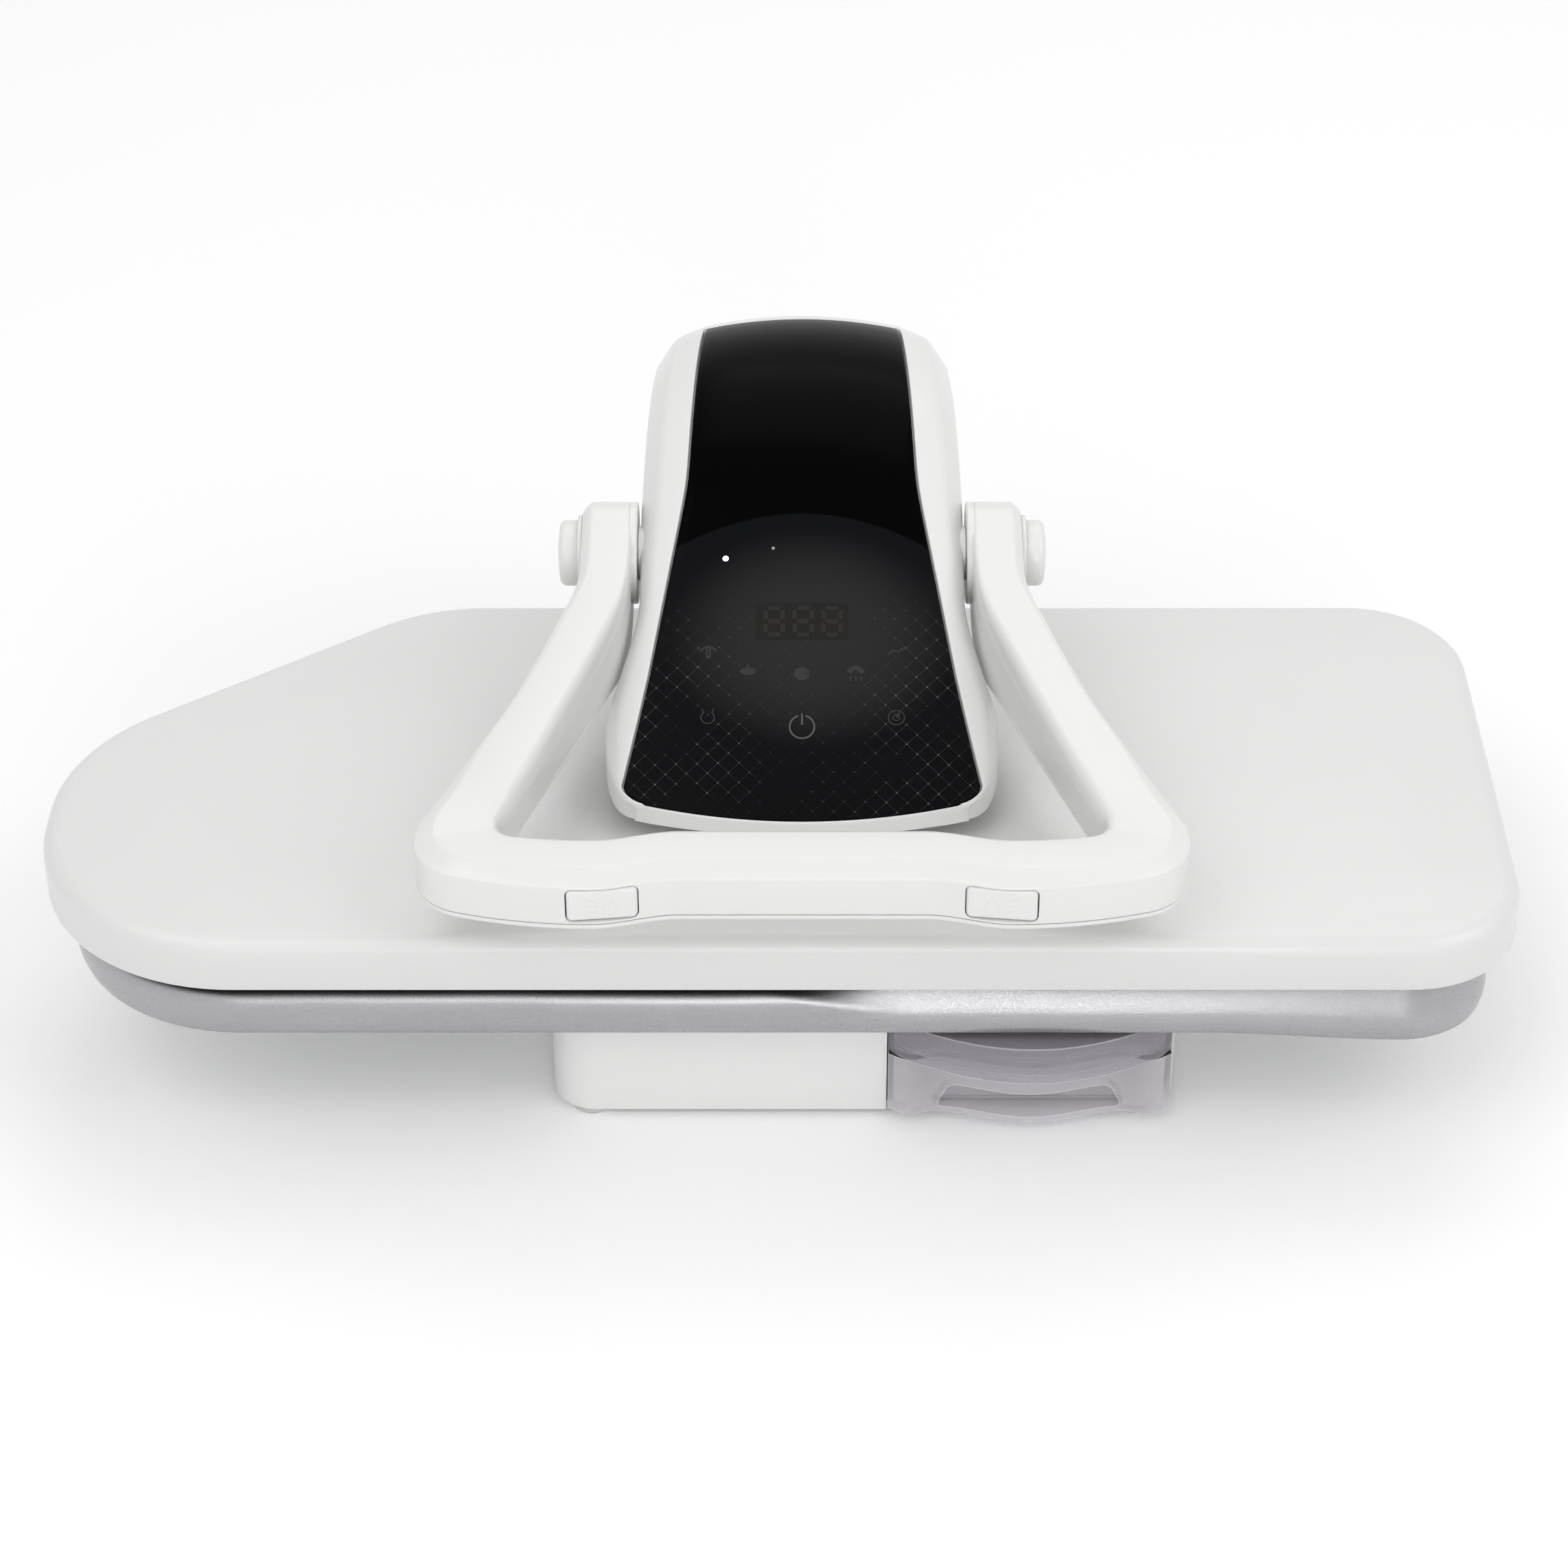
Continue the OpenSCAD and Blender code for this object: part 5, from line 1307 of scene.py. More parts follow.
@dataclass
class PanelMarks:
    """Printed signs, display segments and signal lamps on the panel."""

    arm: Arm
    lift: float = 0.03
    sink: float = 0.08
    display_up: float = 26.0
    display_size: Flat = (42.0, 18.0)
    digit_places: tuple[float, ...] = (-12.5, 0.5, 13.5)
    digit_size: Flat = (7.6, 13.0)
    digit_stroke: float = 2.1
    digit_gap: float = 1.2
    digit_over: float = 0.04
    power_place: Flat = (0.0, -25.0)
    power_stroke: float = 0.75

    def stroke(self, draft: Draft, line: Sequence[Flat], width: float, over: float = 0.0) -> None:
        """Adds a line of even width to a draft.

        Args:
            draft: The draft that gets the line.
            line: Its points on the panel.
            width: Its width.
            over: How far it lies over the other marks.
        """
        left, right = [], []
        for spot, heading in zip(line, headings(line)):
            along = heading * (width / 2)
            left.append((spot[0] - along.y, spot[1] + along.x))
            right.append((spot[0] + along.y, spot[1] - along.x))
        self.plate(draft, [left, right], over)

    def plate(self, draft: Draft, rows: Sequence[Sequence[Flat]], over: float = 0.0) -> None:
        """Adds a thin printed patch through rows of points, its face over the others' faces by a distance."""
        top = [[self.arm.on_panel(spot, self.lift + over) for spot in row] for row in rows]
        bottom = [[self.arm.on_panel(spot, -self.sink) for spot in row] for row in rows]
        draft.slab(top, bottom)

    def arc(self, middle: Flat, radius: float, start: float, end: float) -> list[Flat]:
        """Gives the points of an arc."""
        steps = max(4, int(abs(end - start) / 10))
        spots = [turn_point(radius, lerp(start, end, k / steps)) for k in range(steps + 1)]
        return [(middle[0] + spot[0], middle[1] + spot[1]) for spot in spots]

    def disc(self, draft: Draft, middle: Flat, radius: float, squash: float = 1.0) -> None:
        """Adds a filled round patch."""
        outer = self.arc((0.0, 0.0), radius, 0.0, 360.0)
        rows = [[(middle[0] + spot[0] * size, middle[1] + spot[1] * size * squash) for spot in outer]
                for size in (0.04, 1.0)]
        self.plate(draft, rows)

    def display(self) -> Piece:
        """Builds the display's three digits."""
        draft = Draft()
        digit_w, digit_h = self.digit_size
        gap = self.digit_gap
        for place in self.digit_places:
            left, right = place - digit_w / 2, place + digit_w / 2
            low, mid, high = (self.display_up + share * digit_h / 2 for share in (-1, 0, 1))
            bars = [[(left + gap, height), (right - gap, height)] for height in (low, mid, high)]
            for x in (left, right):
                bars += [[(x, low + gap), (x, mid - gap)], [(x, mid + gap), (x, high - gap)]]
            for bar in bars:
                self.stroke(draft, bar, self.digit_stroke, self.digit_over)
        return draft.object("display_digits")

    def window(self) -> Piece:
        """Builds the display's dim window."""
        draft = Draft()
        wide, high = self.display_size
        across = [lerp(-wide, wide, k / 20) / 2 for k in range(21)]
        rows = [[(x, self.display_up + lerp(high, -high, q / 8) / 2) for x in across] for q in range(9)]
        self.plate(draft, rows)
        return draft.object("display_window")

    def power(self) -> Piece:
        """Builds the power sign."""
        draft = Draft()
        self.stroke(draft, self.arc(self.power_place, 5.5, 108.0, 432.0), self.power_stroke)
        self.stroke(draft, [(0.0, -24.0), (0.0, -18.6)], self.power_stroke)
        return draft.object("power_sign")

    def signs(self) -> Piece:
        """Builds the plain signs of the touch fields."""
        draft = Draft()
        self.stroke(draft, self.arc((-42.0, 10.0), 4.2, 150.0, 30.0), 0.9)
        self.stroke(draft, [(-42.6, 9.0), (-42.6, 15.0)], 0.8)
        self.stroke(draft, [(-41.2, 9.0), (-41.2, 15.0)], 0.8)
        self.disc(draft, (-24.0, 2.0), 3.6, 0.5)
        self.stroke(draft, [(-25.0, 3.2), (-24.0, 5.2)], 0.8)
        self.disc(draft, (0.0, 0.5), 3.5, 0.9)
        self.stroke(draft, self.arc((24.0, 0.5), 3.0, 10.0, 170.0), 2.2)
        for x in (21.6, 24.0, 26.4):
            self.stroke(draft, [(x, -0.6), (x, -2.8)], 0.7)
        self.stroke(draft, [(38.5, 10.5), (41.0, 12.5), (43.0, 12.0), (45.5, 14.0)], 0.7)
        return draft.object("touch_signs")

    def outlines(self) -> Piece:
        """Builds the signs that are drawn in fine lines."""
        draft = Draft()
        self.stroke(draft, self.arc((-42.0, -21.0), 3.0, 130.0, 410.0), 0.5)
        self.stroke(draft, [(-43.9, -18.7), (-44.6, -16.4)], 0.5)
        self.stroke(draft, [(-40.1, -18.7), (-39.4, -16.4)], 0.5)
        self.stroke(draft, self.arc((42.0, -21.0), 3.6, 0.0, 360.0), 0.5)
        self.stroke(draft, self.arc((42.0, -21.0), 1.5, 0.0, 360.0), 0.4)
        self.stroke(draft, [(42.0, -21.0), (43.6, -18.6)], 0.5)
        return draft.object("fine_signs")

    def lamp(self, name: str, spot: Flat, radius: float) -> Piece:
        """Builds one signal lamp."""
        draft = Draft()
        self.disc(draft, spot, radius)
        return draft.object(name)

    def build(self) -> None:
        """Builds and dresses the marks."""
        dress(self.window(), "arm", "display_black", DISPLAY)
        dress(self.display(), "arm", "display_black", SEGMENT_INK)
        dress(self.power(), "arm", "grey_plastic", PALE_INK)
        dress(self.signs(), "arm", "grey_plastic", DIM_INK)
        dress(self.outlines(), "arm", "grey_plastic", DIM_INK)
        dress(self.lamp("signal_lamp", (-34.5, 57.5), 1.3), "arm", "white_plastic", LAMP)
        dress(self.lamp("faint_lamp", (-13.0, 62.0), 0.7), "arm", "white_plastic", FAINT_LAMP)


# Handle


@dataclass(frozen=True)
class GripStation:
    """One section of the handle: its place, outward direction, half width, and lowest and highest point."""

    x: float
    y: float
    out: Flat
    half_w: float
    low: float
    high: float


@dataclass
class Handle:
    """The U-shaped handle with its two hubs."""

    mid_x: float = MID_X
    bar_front: float = -198.5
    bar_half_w: float = 16.0
    bar_bottom: float = 147.1
    bar_h: float = 23.4
    cover_t: float = 3.0
    pivot_y: float = PIVOT_Y
    pivot_z: float = PIVOT_Z
    eye_r: float = 23.5
    eye_w: float = 23.0
    hub_in: float = HUB_IN
    bend_start: float = -8.0
    splay_start: float = 19.0
    splay: float = 27.0
    first_bend_r: float = 80.0
    sweep_r: float = 800.0
    arm_half_w: float = 12.8
    corner_half_w: float = 15.0
    corner_r: float = 26.0
    fillet_r: float = 9.0
    fillet_angle: float = 8.0
    fillet_rise: float = 2.0
    bow_r: float = 197.0
    bow_angle: float = 17.0
    recess: float = 6.8
    recess_len: float = 37.0
    inner_lean: float = 3.0
    seam: float = 0.6
    seam_depth: float = 1.8
    button_x: float = 84.0
    button_w: float = 30.0
    button_h: float = 16.0
    button_z: float = 156.7
    button_gap: float = 0.5
    opening_r: float = 3.2
    opening_depth: float = 9.0
    opening_ahead: float = 3.0
    rise_start: float = 18.0
    taper_run: float = 55.0
    hub_run: float = 30.0
    hub_gap: float = 0.1
    chamfer_start: float = 12.0
    chamfer_run: float = 60.0
    hub_chamfer_ahead: float = 45.0
    hub_chamfer_run: float = 55.0
    outer_chamfer: Sequence[Flat] = ((9.0, 4.5), (3.2, 4.0), (4.0, 4.5))
    inner_chamfer: Sequence[Flat] = ((3.5, 6.0), (3.5, 10.0), (1.6, 2.0))
    full_h: float = 18.0
    cap_inset: float = 8.4
    cap_foot: float = 2.0
    cap_corner_r: float = 3.2
    cap_h: float = 8.6
    collar_gap: float = 2.3
    bore_r: float = BORE_R

    @property
    def pivot(self) -> Vector:
        """Gives the middle of the shaft."""
        return Vector((self.mid_x, self.pivot_y, self.pivot_z))

    @property
    def hub_mid(self) -> float:
        """Gives the middle of a hub."""
        return self.hub_in + self.eye_w / 2

    @property
    def bar_y(self) -> float:
        """Gives the middle of the bar, front to back."""
        return self.bar_front + self.bar_half_w

    @property
    def bar_back(self) -> float:
        """Gives the bar's inner edge."""
        return self.bar_front + 2 * self.bar_half_w

    def on_bend(self, degrees: float) -> Vector:
        """Gives a point on the first bend ahead of a hub."""
        across, along = turn_point(self.first_bend_r, degrees)
        return Vector((self.hub_mid + self.first_bend_r - across, self.bend_start - along))

    def on_sweep(self, degrees: float) -> Vector:
        """Gives a point on the long sweep after it."""
        first = Vector(turn_point(self.sweep_r, self.splay_start))
        return self.on_bend(self.splay_start) + first - Vector(turn_point(self.sweep_r, degrees))

    def round_middle(self, start: Vector, y: float, radius: float) -> Vector:
        """Gives the middle of a corner's round that continues an arm's edge.

        Args:
            start: Where the edge ends on the sweep.
            y: The middle's place front to back.
            radius: The round's radius.

        Returns:
            The middle in plan.
        """
        reach = Vector(turn_point(radius, self.splay))
        return Vector((start.x + (start.y - y - reach.y) * tangent(self.splay) - reach.x, y))

    def station(self, inner: Vector, outer: Vector) -> GripStation:
        """Gives the section between a point of the inner edge and one of the outer edge."""
        middle = (inner + outer) / 2
        across = outer - inner
        y = middle.y
        start = self.bar_y + self.rise_start
        share = clamp01((y - start) / (self.pivot_y - start))
        mid_z = lerp(self.bar_bottom + self.bar_h / 2, self.pivot_z, share)
        half_h = lerp(self.bar_h / 2, self.eye_r, share)
        low, high = mid_z - half_h, mid_z + half_h
        off = abs(y - self.pivot_y)
        chord = math.sqrt(max(0.0, self.eye_r ** 2 - off ** 2))
        if y > self.pivot_y:
            low, high = self.pivot_z - chord, self.pivot_z + chord
        elif off < self.eye_r:
            high = max(high, self.pivot_z + chord)
        out = across / across.length
        return GripStation(middle.x, y, (out.x, out.y), across.length / 2, low, high)

    def arm_station(self, middle: Vector, degrees: float) -> GripStation:
        """Gives a section square to an arm."""
        to_arm = ease((middle.y - self.on_sweep(self.splay).y) / self.taper_run)
        to_hub = ease((middle.y - self.bend_start + self.hub_run) / self.hub_run)
        front = lerp(self.corner_half_w, self.arm_half_w, to_arm)
        half_w = lerp(front, self.eye_w / 2 - self.hub_gap, to_hub)
        out = Vector(turn_point(half_w, degrees))
        return self.station(middle - out, middle + out)

    def bar_station(self, x: float, back: float) -> GripStation:
        """Gives a section of the bar that stands back by a distance."""
        return self.station(Vector((x, self.bar_back + back)), Vector((x, self.bar_front + back)))

    def right_half(self, with_eye: bool) -> list[GripStation]:
        """Gives the sections from the middle of the bar to the right hub."""
        end = self.on_sweep(self.splay)
        edge = Vector(turn_point(self.corner_half_w, self.splay))
        bow_rise = self.bow_r * (1 - cosine(self.bow_angle))
        outer_y = self.bar_front + bow_rise + self.corner_r * cosine(self.bow_angle)
        inner_y = self.bar_back + self.fillet_rise + self.fillet_r * cosine(self.fillet_angle)
        outer_mid = self.round_middle(end + edge, outer_y, self.corner_r)
        inner_mid = self.round_middle(end - edge, inner_y, self.fillet_r)

        def on_outer(degrees: float) -> Vector:
            """Gives a point on the corner's outer round."""
            return outer_mid + Vector(turn_point(self.corner_r, degrees))

        def on_inner(degrees: float) -> Vector:
            """Gives a point on the corner's inner round."""
            return inner_mid + Vector(turn_point(self.fillet_r, degrees))

        bow_x = outer_mid.x + (self.corner_r - self.bow_r) * sine(self.bow_angle)
        fillet_x = on_inner(self.fillet_angle - UPRIGHT).x
        made = [self.bar_station(k / 6 * (bow_x - self.recess_len), self.recess) for k in range(6)]
        made += [self.bar_station(bow_x - self.recess_len * (1 - k / 18), self.recess * (1 - ease(k / 18)))
                 for k in range(19)]
        for k in range(1, 13):
            share = k / 12
            turn = math.radians(self.bow_angle * share)
            inner = Vector((lerp(bow_x, fillet_x, share), self.bar_back + self.fillet_rise * share * share))
            across = bow_x + self.bow_r * math.sin(turn)
            ahead = self.bar_front + self.bow_r * (1 - math.cos(turn))
            made.append(self.station(inner, Vector((across, ahead))))
        for k in range(1, 31):
            inner = on_inner(lerp(self.fillet_angle - UPRIGHT, self.splay, k / 30))
            outer = on_outer(lerp(self.bow_angle - UPRIGHT, self.splay, k / 30))
            made.append(self.station(inner, outer))
        for k in range(1, 8):
            inner = on_inner(self.splay).lerp(end - edge, k / 8)
            outer = on_outer(self.splay).lerp(end + edge, k / 8)
            made.append(self.station(inner, outer))
        for k in range(25):
            degrees = lerp(self.splay, self.splay_start, k / 24)
            made.append(self.arm_station(self.on_sweep(degrees), degrees))
        for k in range(1, 13):
            degrees = self.splay_start * (1 - k / 12)
            made.append(self.arm_station(self.on_bend(degrees), degrees))
        straight = [lerp(self.bend_start, self.pivot_y, k / 8) for k in range(1, 9)]
        if with_eye:
            straight += [self.pivot_y + self.eye_r * sine(5.9 * k) for k in range(1, 16)]
        made += [self.arm_station(Vector((self.hub_mid, y)), 0.0) for y in straight]
        return made

    def stations(self, with_eye: bool) -> list[GripStation]:
        """Gives the sections from the left hub to the right one."""
        right = self.right_half(with_eye)
        left = [GripStation(-s.x, s.y, (-s.out[0], s.out[1]), s.half_w, s.low, s.high) for s in right[:0:-1]]
        return left + right

    def spot(self, station: GripStation, out: float, height: float) -> Vector:
        """Gives a point of a section, off its middle by out."""
        across, ahead = station.out
        return Vector((self.mid_x + station.x + out * across, station.y + out * ahead, height))

    def chamfer(self, sizes: Sequence[Flat], y: float) -> Flat:
        """Gives a chamfer's width and height along the handle.

        Args:
            sizes: Its sizes on the bar, along the arms and at the hubs.
            y: Place along the handle.

        Returns:
            Width and height.
        """
        to_arm = ease((y - self.bar_y - self.chamfer_start) / self.chamfer_run)
        to_hub = ease((y - self.bend_start + self.hub_chamfer_ahead) / self.hub_chamfer_run)
        return tuple(lerp(lerp(sizes[0][k], sizes[1][k], to_arm), sizes[2][k], to_hub) for k in range(2))

    def lean(self, y: float) -> float:
        """Gives how far the inner wall leans in at its foot along the handle."""
        return self.chamfer(((0.0, 0.0), (self.inner_lean, 0.0), (0.0, 0.0)), y)[0]

    def section(self, station: GripStation) -> Row:
        """Gives the closed section of the handle's shell."""
        outer = self.chamfer(self.outer_chamfer, station.y)
        inner = self.chamfer(self.inner_chamfer, station.y)
        fit = clamp01((station.high - station.low) / self.full_h)
        wide, low, high = station.half_w, station.low, station.high
        corners = [
            self.spot(station, 0.0, low),
            self.spot(station, self.lean(station.y) - wide, low),
            self.spot(station, -wide, high - inner[1] * fit),
            self.spot(station, 0.3 * inner[0] * fit - wide, high - 0.4 * inner[1] * fit),
            self.spot(station, inner[0] * fit - wide, high),
            self.spot(station, wide - outer[0] * fit, high),
            self.spot(station, wide, high - outer[1] * fit),
            self.spot(station, wide, low),
            self.spot(station, 0.0, low),
        ]
        trims = [trim * fit for trim in (0.0, 0.7, 2.0, 2.0, 2.0, 1.2, 1.2, 0.7, 0.0)]
        return soften(corners, trims, steps=4)[:-1]

    def shell(self) -> Piece:
        """Builds the white shell and cuts the buttons' openings."""
        rings = [self.section(station) for station in self.stations(with_eye=True)]
        made = Draft().rings(rings).object("handle_shell", sharp=40.0)
        for side in SIDES:
            cut(made, self.button_tool(side))
        smooth(made, sharp=40.0)
        return made

    def button_tool(self, side: float) -> Piece:
        """Builds the block that opens the shell for a button."""
        x = self.mid_x + side * self.button_x
        size = (self.button_w + 2 * self.button_gap, self.button_h + 2 * self.button_gap)
        ends = (self.bar_front + self.opening_depth, self.bar_front - self.opening_ahead)
        rings = [button_ring(x, self.button_z, y, *size, self.opening_r) for y in ends]
        return Draft().rings(rings).object("button_opening")

    def cover(self) -> Piece:
        """Builds the cover under the handle."""
        trims = (0.0, 0.1, 0.1, 0.3, 1.4, 1.4, 0.3, 0.1, 0.1, 0.0)
        rings = []
        for station in self.stations(with_eye=False):
            wide = station.half_w - 0.3
            inside = self.lean(station.y) - wide
            low, edge = station.low - self.cover_t, station.low - self.seam
            outer, inner = wide - self.seam_depth, inside + self.seam_depth
            places = ((outer, station.low), (outer, edge), (wide, edge), (wide, low),
                      (inside, low), (inside, edge), (inner, edge), (inner, station.low))
            middle = self.spot(station, 0.0, station.low)
            corners = [middle] + [self.spot(station, out, height) for out, height in places] + [middle]
            rings.append(soften(corners, trims, steps=3)[:-1])
        return Draft().rings(rings).object("handle_under_cover", sharp=50.0)

    def hub_cap(self, side: float) -> Piece:
        """Builds the round cap on a hub."""
        radius = self.eye_r - self.cap_inset
        foot = self.hub_in + self.eye_w + self.cap_foot
        corner_r = self.cap_corner_r
        spots = [turn_point(corner_r, 9.0 * k) for k in range(11)]
        edge = [(foot + self.cap_h - corner_r + up, radius - corner_r + out) for out, up in spots]
        face = [(foot + 9.1, 0.55 * radius), (foot + 9.3, 0.3 * radius), (foot + 9.4, 0.4)]
        profile = [(foot, radius - 0.4), (foot + 0.4, radius)] + edge + face
        rings = lathe(profile, self.pivot, side)
        return Draft().rings(rings).object(f"hub_cap_{side_word(side)}", sharp=60.0)

    def collar(self, side: float) -> Piece:
        """Builds the collar that brings a hub's eye up to the arm's side."""
        inner, outer = self.hub_in - self.collar_gap, self.hub_in + 1.0
        profile = ((inner, self.bore_r), (inner, self.eye_r - 0.6), (inner + 0.5, self.eye_r),
                   (outer, self.eye_r), (outer, self.bore_r))
        return Draft().rings(lathe(profile, self.pivot, side)).object(f"hub_collar_{side_word(side)}")

    def build(self) -> None:
        """Builds and dresses the handle's pieces."""
        dress(self.shell(), "handle", "white_plastic", WHITE, "handle_body")
        for side in SIDES:
            dress(self.collar(side), "handle", "white_plastic", WHITE)
        dress(self.cover(), "handle", "grey_plastic", WHITE, "handle_cover")
        caps = [self.hub_cap(side) for side in SIDES]
        dress(caps[0], "handle", "white_plastic", WHITE, "hub_caps")
        dress(caps[1], "handle", "white_plastic", WHITE)
        washers = refined("hub_washers", "hub_washer_rings", width=0.4)
        dress(washers, "handle", "white_plastic", WHITE, "hub_washers")


def button_ring(x: float, z: float, y: float, width: float, height: float, radius: float) -> Row:
    """Gives a rounded rectangle across Y.

    Args:
        x: Its middle across.
        z: Its middle height.
        y: Its place along Y.
        width: Its width.
        height: Its height.
        radius: Its corner radius.

    Returns:
        The ring.
    """
    ring = []
    corners = ((1, -1, -90.0), (1, 1, 0.0), (-1, 1, 90.0), (-1, -1, 180.0))
    for right, up, start in corners:
        middle = (x + right * (width / 2 - radius), z + up * (height / 2 - radius))
        for k in range(7):
            spot = turn_point(radius, start + 15.0 * k)
            ring.append(Vector((middle[0] + spot[0], y, middle[1] + spot[1])))
    return ring


@dataclass
class SteamButton:
    """One of the two buttons in the bar, with a raised mark; its face slants with the bar's front."""

    handle: Handle
    side: float
    proud: float = 0.72
    depth: float = 9.1
    slant: float = 6.3
    corner_r: float = 2.4
    corner_shrink: float = 0.6

    @property
    def middle(self) -> float:
        """Gives the button's middle across the press."""
        return self.handle.mid_x + self.side * self.handle.button_x

    def face(self, x: float) -> float:
        """Gives how far the face lies back at a place across the button."""
        return (self.handle.button_w / 2 - self.side * x) * tangent(self.slant)

    def cap(self) -> Draft:
        """Builds the button's body with its soft front."""
        grip = self.handle
        front = grip.bar_front - self.proud
        profile = ((2.4, 0.0), (1.2, 0.2), (0.4, 0.7), (0.08, 1.3), (0.0, 2.0))
        size = (grip.button_w, grip.button_h)
        rings = [button_ring(self.middle, grip.button_z, grip.bar_front + self.depth, *size, self.corner_r)]
        for back, inset in profile:
            smaller = [length - 2 * inset for length in size]
            radius = self.corner_r - self.corner_shrink * inset
            flat = button_ring(self.middle, grip.button_z, front + back, *smaller, radius)
            rings.append([spot + Vector((0.0, self.face(spot.x - self.middle), 0.0)) for spot in flat])
        return Draft().rings(rings)

    def ridge(self, draft: Draft, line: Sequence[Flat], width: float) -> None:
        """Adds one low ridge along a line on the face.

        Args:
            draft: The draft that gets the ridge.
            line: Its points across and up from the button's middle.
            width: Its width.
        """
        grip = self.handle
        profile = ((-0.1, 1.0), (0.18, 0.75), (0.28, 0.2))
        edge = [(share * width / 2, lift) for lift, share in profile]
        edge += [(-half, lift) for half, lift in reversed(edge)]
        rings = []
        for spot, along in zip(line, headings(line)):
            ring = []
            for off, lift in edge:
                x = spot[0] - along.y * off
                y = grip.bar_front - self.proud - lift + self.face(x)
                ring.append(Vector((self.middle + x, y, grip.button_z + spot[1] + along.x * off)))
            rings.append(ring)
        draft.rings(rings)

    def mark(self, draft: Draft) -> None:
        """Adds a raised drop with three puffs of steam to the button's face."""
        lean = -self.side
        for rise, reach in ((3.6, 4.0), (0.9, 5.2), (-1.8, 4.0)):
            puff = [(lean * -2.0, rise - 1.2), (lean * -4.0, rise - 0.2), (lean * (-2.0 - reach), rise)]
            self.ridge(draft, puff, 1.3)
        drop = [turn_point(3.0, lerp(125.0, 415.0, k / 14)) for k in range(15)]
        self.ridge(draft, [(lean * 4.0 + spot[0], spot[1] - 1.6) for spot in drop] + [(lean * 4.0, 4.6)], 1.0)

    def build(self) -> None:
        """Builds and dresses the button."""
        word = side_word(self.side)
        draft = self.cap()
        self.mark(draft)
        button = draft.object(f"steam_button_cap_{word}", sharp=42.0)
        dress(button, f"steam_button_{word}", "white_plastic", WHITE, f"button_{word}")


# Padded board


BOARD_SIDE: Sequence[Flat] = (
    (34, 1.0), (27, 0.98), (21, 0.95), (16, 0.91), (12, 0.865), (8.6, 0.815), (6, 0.77), (4, 0.725),
    (2.4, 0.675), (1.2, 0.62), (0.5, 0.565), (0.1, 0.5), (0, 0.42), (0.1, 0.3), (0.4, 0.17), (1.5, 0.05),
    (3.4, 0.0),
)


